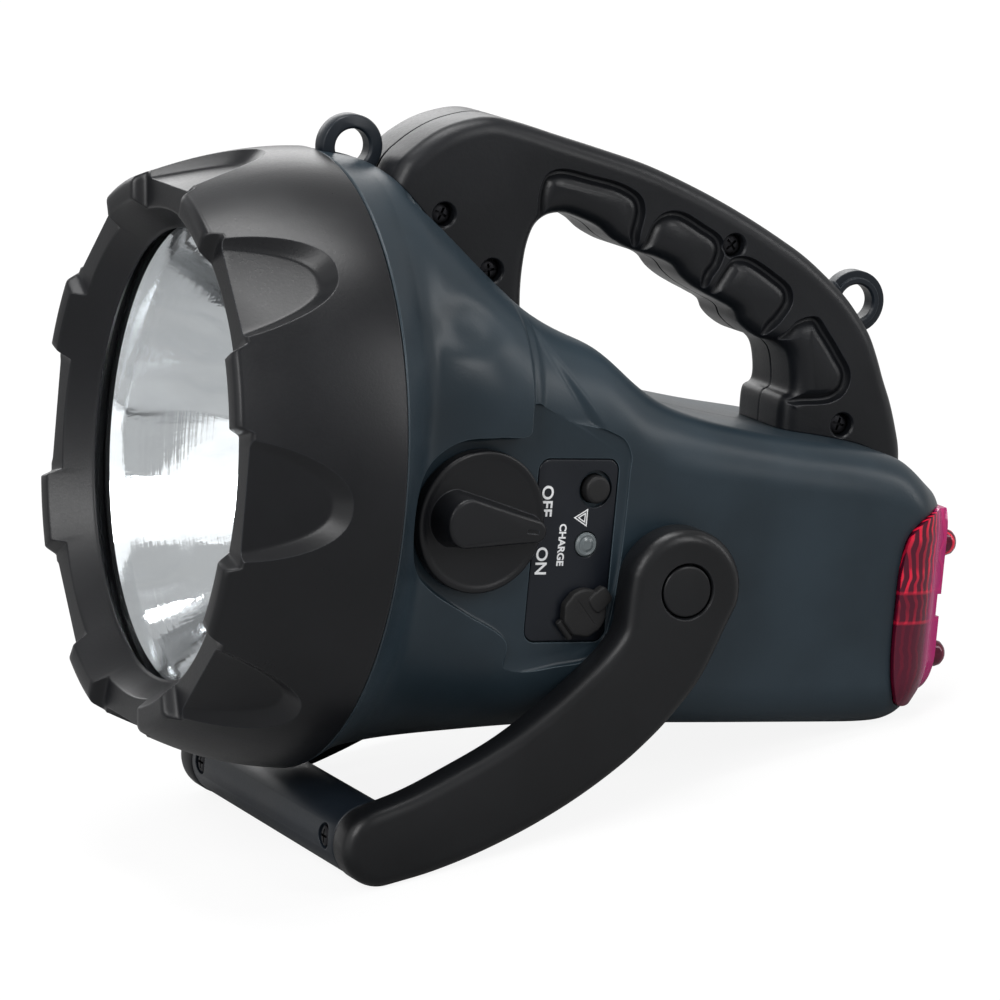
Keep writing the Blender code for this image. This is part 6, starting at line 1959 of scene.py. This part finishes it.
@dataclass
class Bail:
    """The folding stand: two arms, the crossbar and the pivots."""

    bar: Pair = (10.7, -89.8)
    bar_radius: float = 9.86
    inner: float = 50.3
    thickness: float = 10.0
    boss: float = 15.88
    well: Pairs = (
        (54.7, 0), (54.7, 7.1), (59.7, 7.1), (60.6, 7.7), (64, 7.7), (64, 0))
    bolt_hole: float = 4.3
    cap_faces: Pair = (57.7, 60.2)
    cap_radius: float = 6.7
    tube_bore: float = 6.6
    screw_hole: Pairs = (
        (-6, 0), (-6, 3.4), (1.2, 3.4), (1.6, 3.1), (3.0, 3.1), (3.0, 0))
    screw_spread: float = 43.8
    shares: tuple[Triple, ...] = (
        (0.000, 0.0000, 1.000), (0.128, 0.0885, 0.838), (0.222, 0.1160, 0.813),
        (0.335, 0.1280, 0.813), (0.476, 0.1275, 0.788), (0.620, 0.1123, 0.750),
        (0.769, 0.0797, 0.719), (0.892, 0.0437, 0.675), (1.000, 0.0000, 0.638))

    def outline(self) -> Shape:
        """Return the arm's outline from the side.

        Returns:
            The outline's points.
        """
        start, end = np.array((PIVOT.x, PIVOT.z)), np.array(self.bar)
        chord = end - start
        offset = np.array((-chord[1], chord[0]))
        table = np.asarray(self.shares)
        middle = smooth([start + chord * a + offset * o for a, o, _ in self.shares], 1.0,
                        closed=False)
        run = np.gradient(middle, axis=0)
        run /= np.linalg.norm(run, axis=1)[:, None]
        normal = np.column_stack([run[:, 1], -run[:, 0]])
        along = ((middle - start) @ chord) / (chord @ chord)
        half = self.boss * steady(along, table[:, 0], table[:, 2])[:, None]
        left, right = middle + normal * half, middle - normal * half
        parts = np.vstack([left, self.half_turn(middle[-1], left[-1]), right[::-1],
                           self.half_turn(middle[0], right[0])])
        return spaced(np.vstack([parts, parts[:1]]), 0.7)

    @staticmethod
    def half_turn(centre: Shape, first: Shape) -> Shape:
        """Return the inner points of a half circle round centre from first.

        Args:
            centre: The half circle's centre.
            first: Where it starts.

        Returns:
            The points between its ends.
        """
        out = []
        for angle in np.linspace(0, math.pi, 25)[1:-1]:
            c, s = math.cos(angle), math.sin(angle)
            out.append(centre + np.array(((c, -s), (s, c))) @ (first - centre))
        return np.array(out)

    def arm(self, side: Side) -> Item:
        """Build one arm with its pivot's well and its screw's hole.

        Args:
            side: The side of the lamp.

        Returns:
            The arm.
        """
        outer = self.inner + self.thickness
        levels = [(self.inner, 1.0), (self.inner + 0.3, 0.3), (self.inner + 1.0, 0.0)]
        levels += edge_levels(self.inner, outer, 3.6, 8)
        arm = slab(self.outline(), [(side * y, inset) for y, inset in levels])
        pivot = across(PIVOT.x, PIVOT.z, side)
        cut(arm, moved(disc(40.0, 70.0, self.bolt_hole, 0.1, 40), pivot))
        return cut(arm, moved(lathe(self.well, 72), pivot))

    def button(self, side: Side) -> Item:
        """Build one round cap in an arm's well.

        Args:
            side: The side of the lamp.

        Returns:
            The cap.
        """
        low, high = self.cap_faces
        rim = [(x, self.cap_radius - inset) for x, inset in edge_levels(low, high, 0.7, 5)]
        face = [(high + 0.25, 3.0), (high + 0.3, 0)]
        cap = lathe([(low, 0), (low, self.cap_radius), *rim, *face], 72)
        return moved(cap, across(PIVOT.x, PIVOT.z, side))

    def tube(self) -> Item:
        """Build the crossbar with the holes for its screws.

        Returns:
            The crossbar.
        """
        half = self.inner - GAP
        ends = [(half - 0.6 * (1 - math.sin(a)), self.bar_radius - 0.6 * (1 - math.cos(a)))
                for a in np.linspace(0, math.pi / 2, 4)]
        profile = [(-half, self.tube_bore), *[(-x, r) for x, r in ends[::-1]], *ends,
                   (half, self.tube_bore)]
        bar = moved(lathe(profile, 96, closed=True), across(*self.bar))
        for side in Side:
            place = Matrix.Translation((self.bar[0] - 10, side * self.screw_spread, self.bar[1]))
            cut(bar, moved(lathe(self.screw_hole, 40), place))
        return bar

    def build(self) -> None:
        """Make the stand's pieces."""
        for side in Side:
            word = side.word
            Piece(f"bail_strap_{word}", Body.BAIL, Finish.BLACK_ARM,
                  (f"bail_arm_{word}",)).settle(self.arm(side))
            Piece(f"pivot_button_{word}", Body.BAIL, Finish.BLACK_ARM,
                  (f"pivot_cap_{word}",)).settle(self.button(side))
            Finish.ZINC.dress(f"pivot_bolt_{word}", f"pivot_nut_{word}")
            Finish.WHITE.dress(f"pivot_washer_{word}")
        Piece("bail_tube", Body.BAIL, Finish.BLUE_DARK, ("bail_bar",)).settle(self.tube())


# ---------------------------------------------------------------- tail lamp

@dataclass
class TailLamp:
    """The red tail lens with its band and pegs, and what stands behind it."""

    bulge: float = 1.6
    wall: float = 2.2
    band: Pair = (-32, -26)
    band_depth: float = 1.2
    peg: Pairs = (
        (-1.1, 0), (-1.1, 3.6), (5.6, 3.6), (6.9, 3.2), (7.8, 2.3), (8.2, 1.2), (8.2, 0))
    peg_places: Pairs = ((-27, -14), (-27, -44), (27, -14), (27, -44))

    def lens(self) -> Item:
        """Build the lens: the body's tail, grown by its bulge, with a band and four pegs.

        Returns:
            The lens.
        """
        outer = FORM.solid(self.bulge, 0, 60, 0.9)
        merge(outer, slab(Shells().tail_outline(-GAP), [(-90, 0), (90, 0)]), Boolean.KEEP)
        cut(outer, FORM.solid(self.bulge - self.wall, 0, 60, 0.9))
        rear = FORM.length + self.bulge
        low, high = self.band
        cut(outer, block((rear - self.band_depth, -80, low), (rear + 6, 80, high)))
        for y, z in self.peg_places:
            weld(outer, moved(lathe(self.peg, 32), Matrix.Translation((rear, y, z))))
        return outer

    def build(self) -> None:
        """Make the tail lamp."""
        Piece("tail_lens_red", Body.LAMP, Finish.RED_LENS, ("tail_lens",)).settle(self.lens())
        Finish.WHITE.dress("tail_tray")
        Finish.BOARD.dress("tail_board")
        Finish.RED_LED.dress("tail_led_1", "tail_led_2", "tail_led_3")
        Finish.BATTERY_CASE.dress("battery")
        Finish.RUBBER.dress("battery_pad")


# ---------------------------------------------------------------- studio

@dataclass(frozen=True)
class SoftLight:
    """A soft rectangular lamp of the studio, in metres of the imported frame."""

    name: str
    place: Triple
    size: Pair
    power: float
    aim: Triple = (0, 0, 0.09)

    def hang(self) -> None:
        """Make the lamp, turned to what it lights and unseen by the camera."""
        data = bpy.data.lights.new(self.name, "AREA")
        data.shape, data.energy = "RECTANGLE", self.power
        data.size, data.size_y = self.size
        item = bpy.data.objects.new(self.name, data)
        item.location = self.place
        away = Vector(self.place) - Vector(self.aim)
        item.rotation_euler = away.to_track_quat("Z", "Y").to_euler()
        item.visible_camera = False
        bpy.context.scene.collection.objects.link(item)


@dataclass
class Studio:
    """The camera, the soft lights, the pale floor and the white surroundings."""

    azimuth: float = -24.45
    elevation: float = 8.68
    roll: float = 5.25
    distance: float = 1600.0
    target: Triple = (61.19, 0.0, -10.02)
    lens: float = 220.26
    sensor: float = 36.0
    far: float = 20.0
    lights: tuple[SoftLight, ...] = (
        SoftLight("key_left", (-1.1, -1.0, 1.3), (0.8, 0.8), 17),
        SoftLight("top_soft", (0.2, 0.1, 1.7), (1.1, 0.7), 22),
        SoftLight("side_strip", (0.9, -1.5, 0.9), (0.4, 1.1), 11),
        SoftLight("back_soft", (0.3, 1.6, 0.75), (1.7, 0.7), 12),
        SoftLight("rear_strip", (1.5, -0.5, 0.5), (0.3, 1.2), 6),
        SoftLight("front_card", (-1.5, -0.4, 0.9), (2.2, 2.4), 15))
    floor_size: float = 14.0
    floor_tones: Pair = (0.37, 0.40)
    floor_glow: float = 1.24
    floor_share: float = 0.72
    room_light: float = 0.17
    room_gloss: float = 0.45

    def camera(self) -> None:
        """Create the camera at the photograph's place."""
        a, e, r = (math.radians(v) for v in (self.azimuth, self.elevation, self.roll))
        back = Vector((math.sin(a) * math.cos(e), -math.cos(a) * math.cos(e), math.sin(e)))
        right = Vector((math.cos(a), math.sin(a), 0))
        up = back.cross(right)
        right_r = right * math.cos(r) + up * math.sin(r)
        up_r = up * math.cos(r) - right * math.sin(r)
        turn = Matrix((right_r, up_r, back)).transposed().to_4x4()
        place = Matrix.Translation(Vector(self.target) + back * self.distance)
        world = LAMP @ place @ turn
        data = bpy.data.cameras.new("camera")
        data.lens, data.sensor_width = self.lens, self.sensor
        data.clip_end = self.far
        item = bpy.data.objects.new("camera", data)
        bpy.context.scene.collection.objects.link(item)
        item.matrix_world = Matrix.Translation(world.to_translation()) @ (
            LAMP.to_3x3().normalized() @ turn.to_3x3()).to_4x4()
        bpy.context.scene.camera = item

    def floor(self) -> None:
        """Make the pale floor, which looks white to the camera and keeps the lamp's shadow."""
        only()
        bpy.ops.mesh.primitive_plane_add(size=self.floor_size)
        floor = bpy.context.object
        floor.name = "floor"
        g = Graph("floor_paper")
        paper = g.mix(g.noise(40.0), *((tone,) * 3 for tone in self.floor_tones))
        plain = g.principled(base_color=paper, roughness=1.0, specular_ior_level=0.0)
        glow = g.node("ShaderNodeEmission", {}, {
            "Color": (1.0, 1.0, 1.0), "Strength": self.floor_glow})
        seen = g.wire("ShaderNodeLightPath", {}, {}, "Is Camera Ray")
        floor.data.materials.append(g.blend(seen * self.floor_share, plain, glow))

    def world(self) -> None:
        """Make the room: white to the camera and through glass, dimmer in gloss and as light."""
        g = Graph("white_room", world=True)
        rays = g.node("ShaderNodeLightPath", {}, {})
        camera, glass, gloss = (Wire(g, rays.outputs[name]) for name in (
            "Is Camera Ray", "Is Transmission Ray", "Is Glossy Ray"))
        share = camera.most(glass).most(gloss * self.room_gloss)
        strength = share * (1.0 - self.room_light) + self.room_light
        bpy.context.scene.world = g.finish(g.node("ShaderNodeBackground", {}, {
            "Color": (1.0, 1.0, 1.0), "Strength": strength}))

    def build(self) -> None:
        """Set up the studio."""
        self.camera()
        for light in self.lights:
            light.hang()
        self.floor()
        self.world()
        bpy.context.scene.view_settings.view_transform = "Standard"


def main() -> None:
    """Build every sub-assembly in order, then the studio."""
    logging.basicConfig(level=logging.INFO, format="%(message)s")
    for part in (Head(), Shells(), Handle(), Screws(), Controls(), Bail(), TailLamp(), Studio()):
        part.build()
        log.info("built %s", type(part).__name__)


if __name__ == "__main__":
    main()
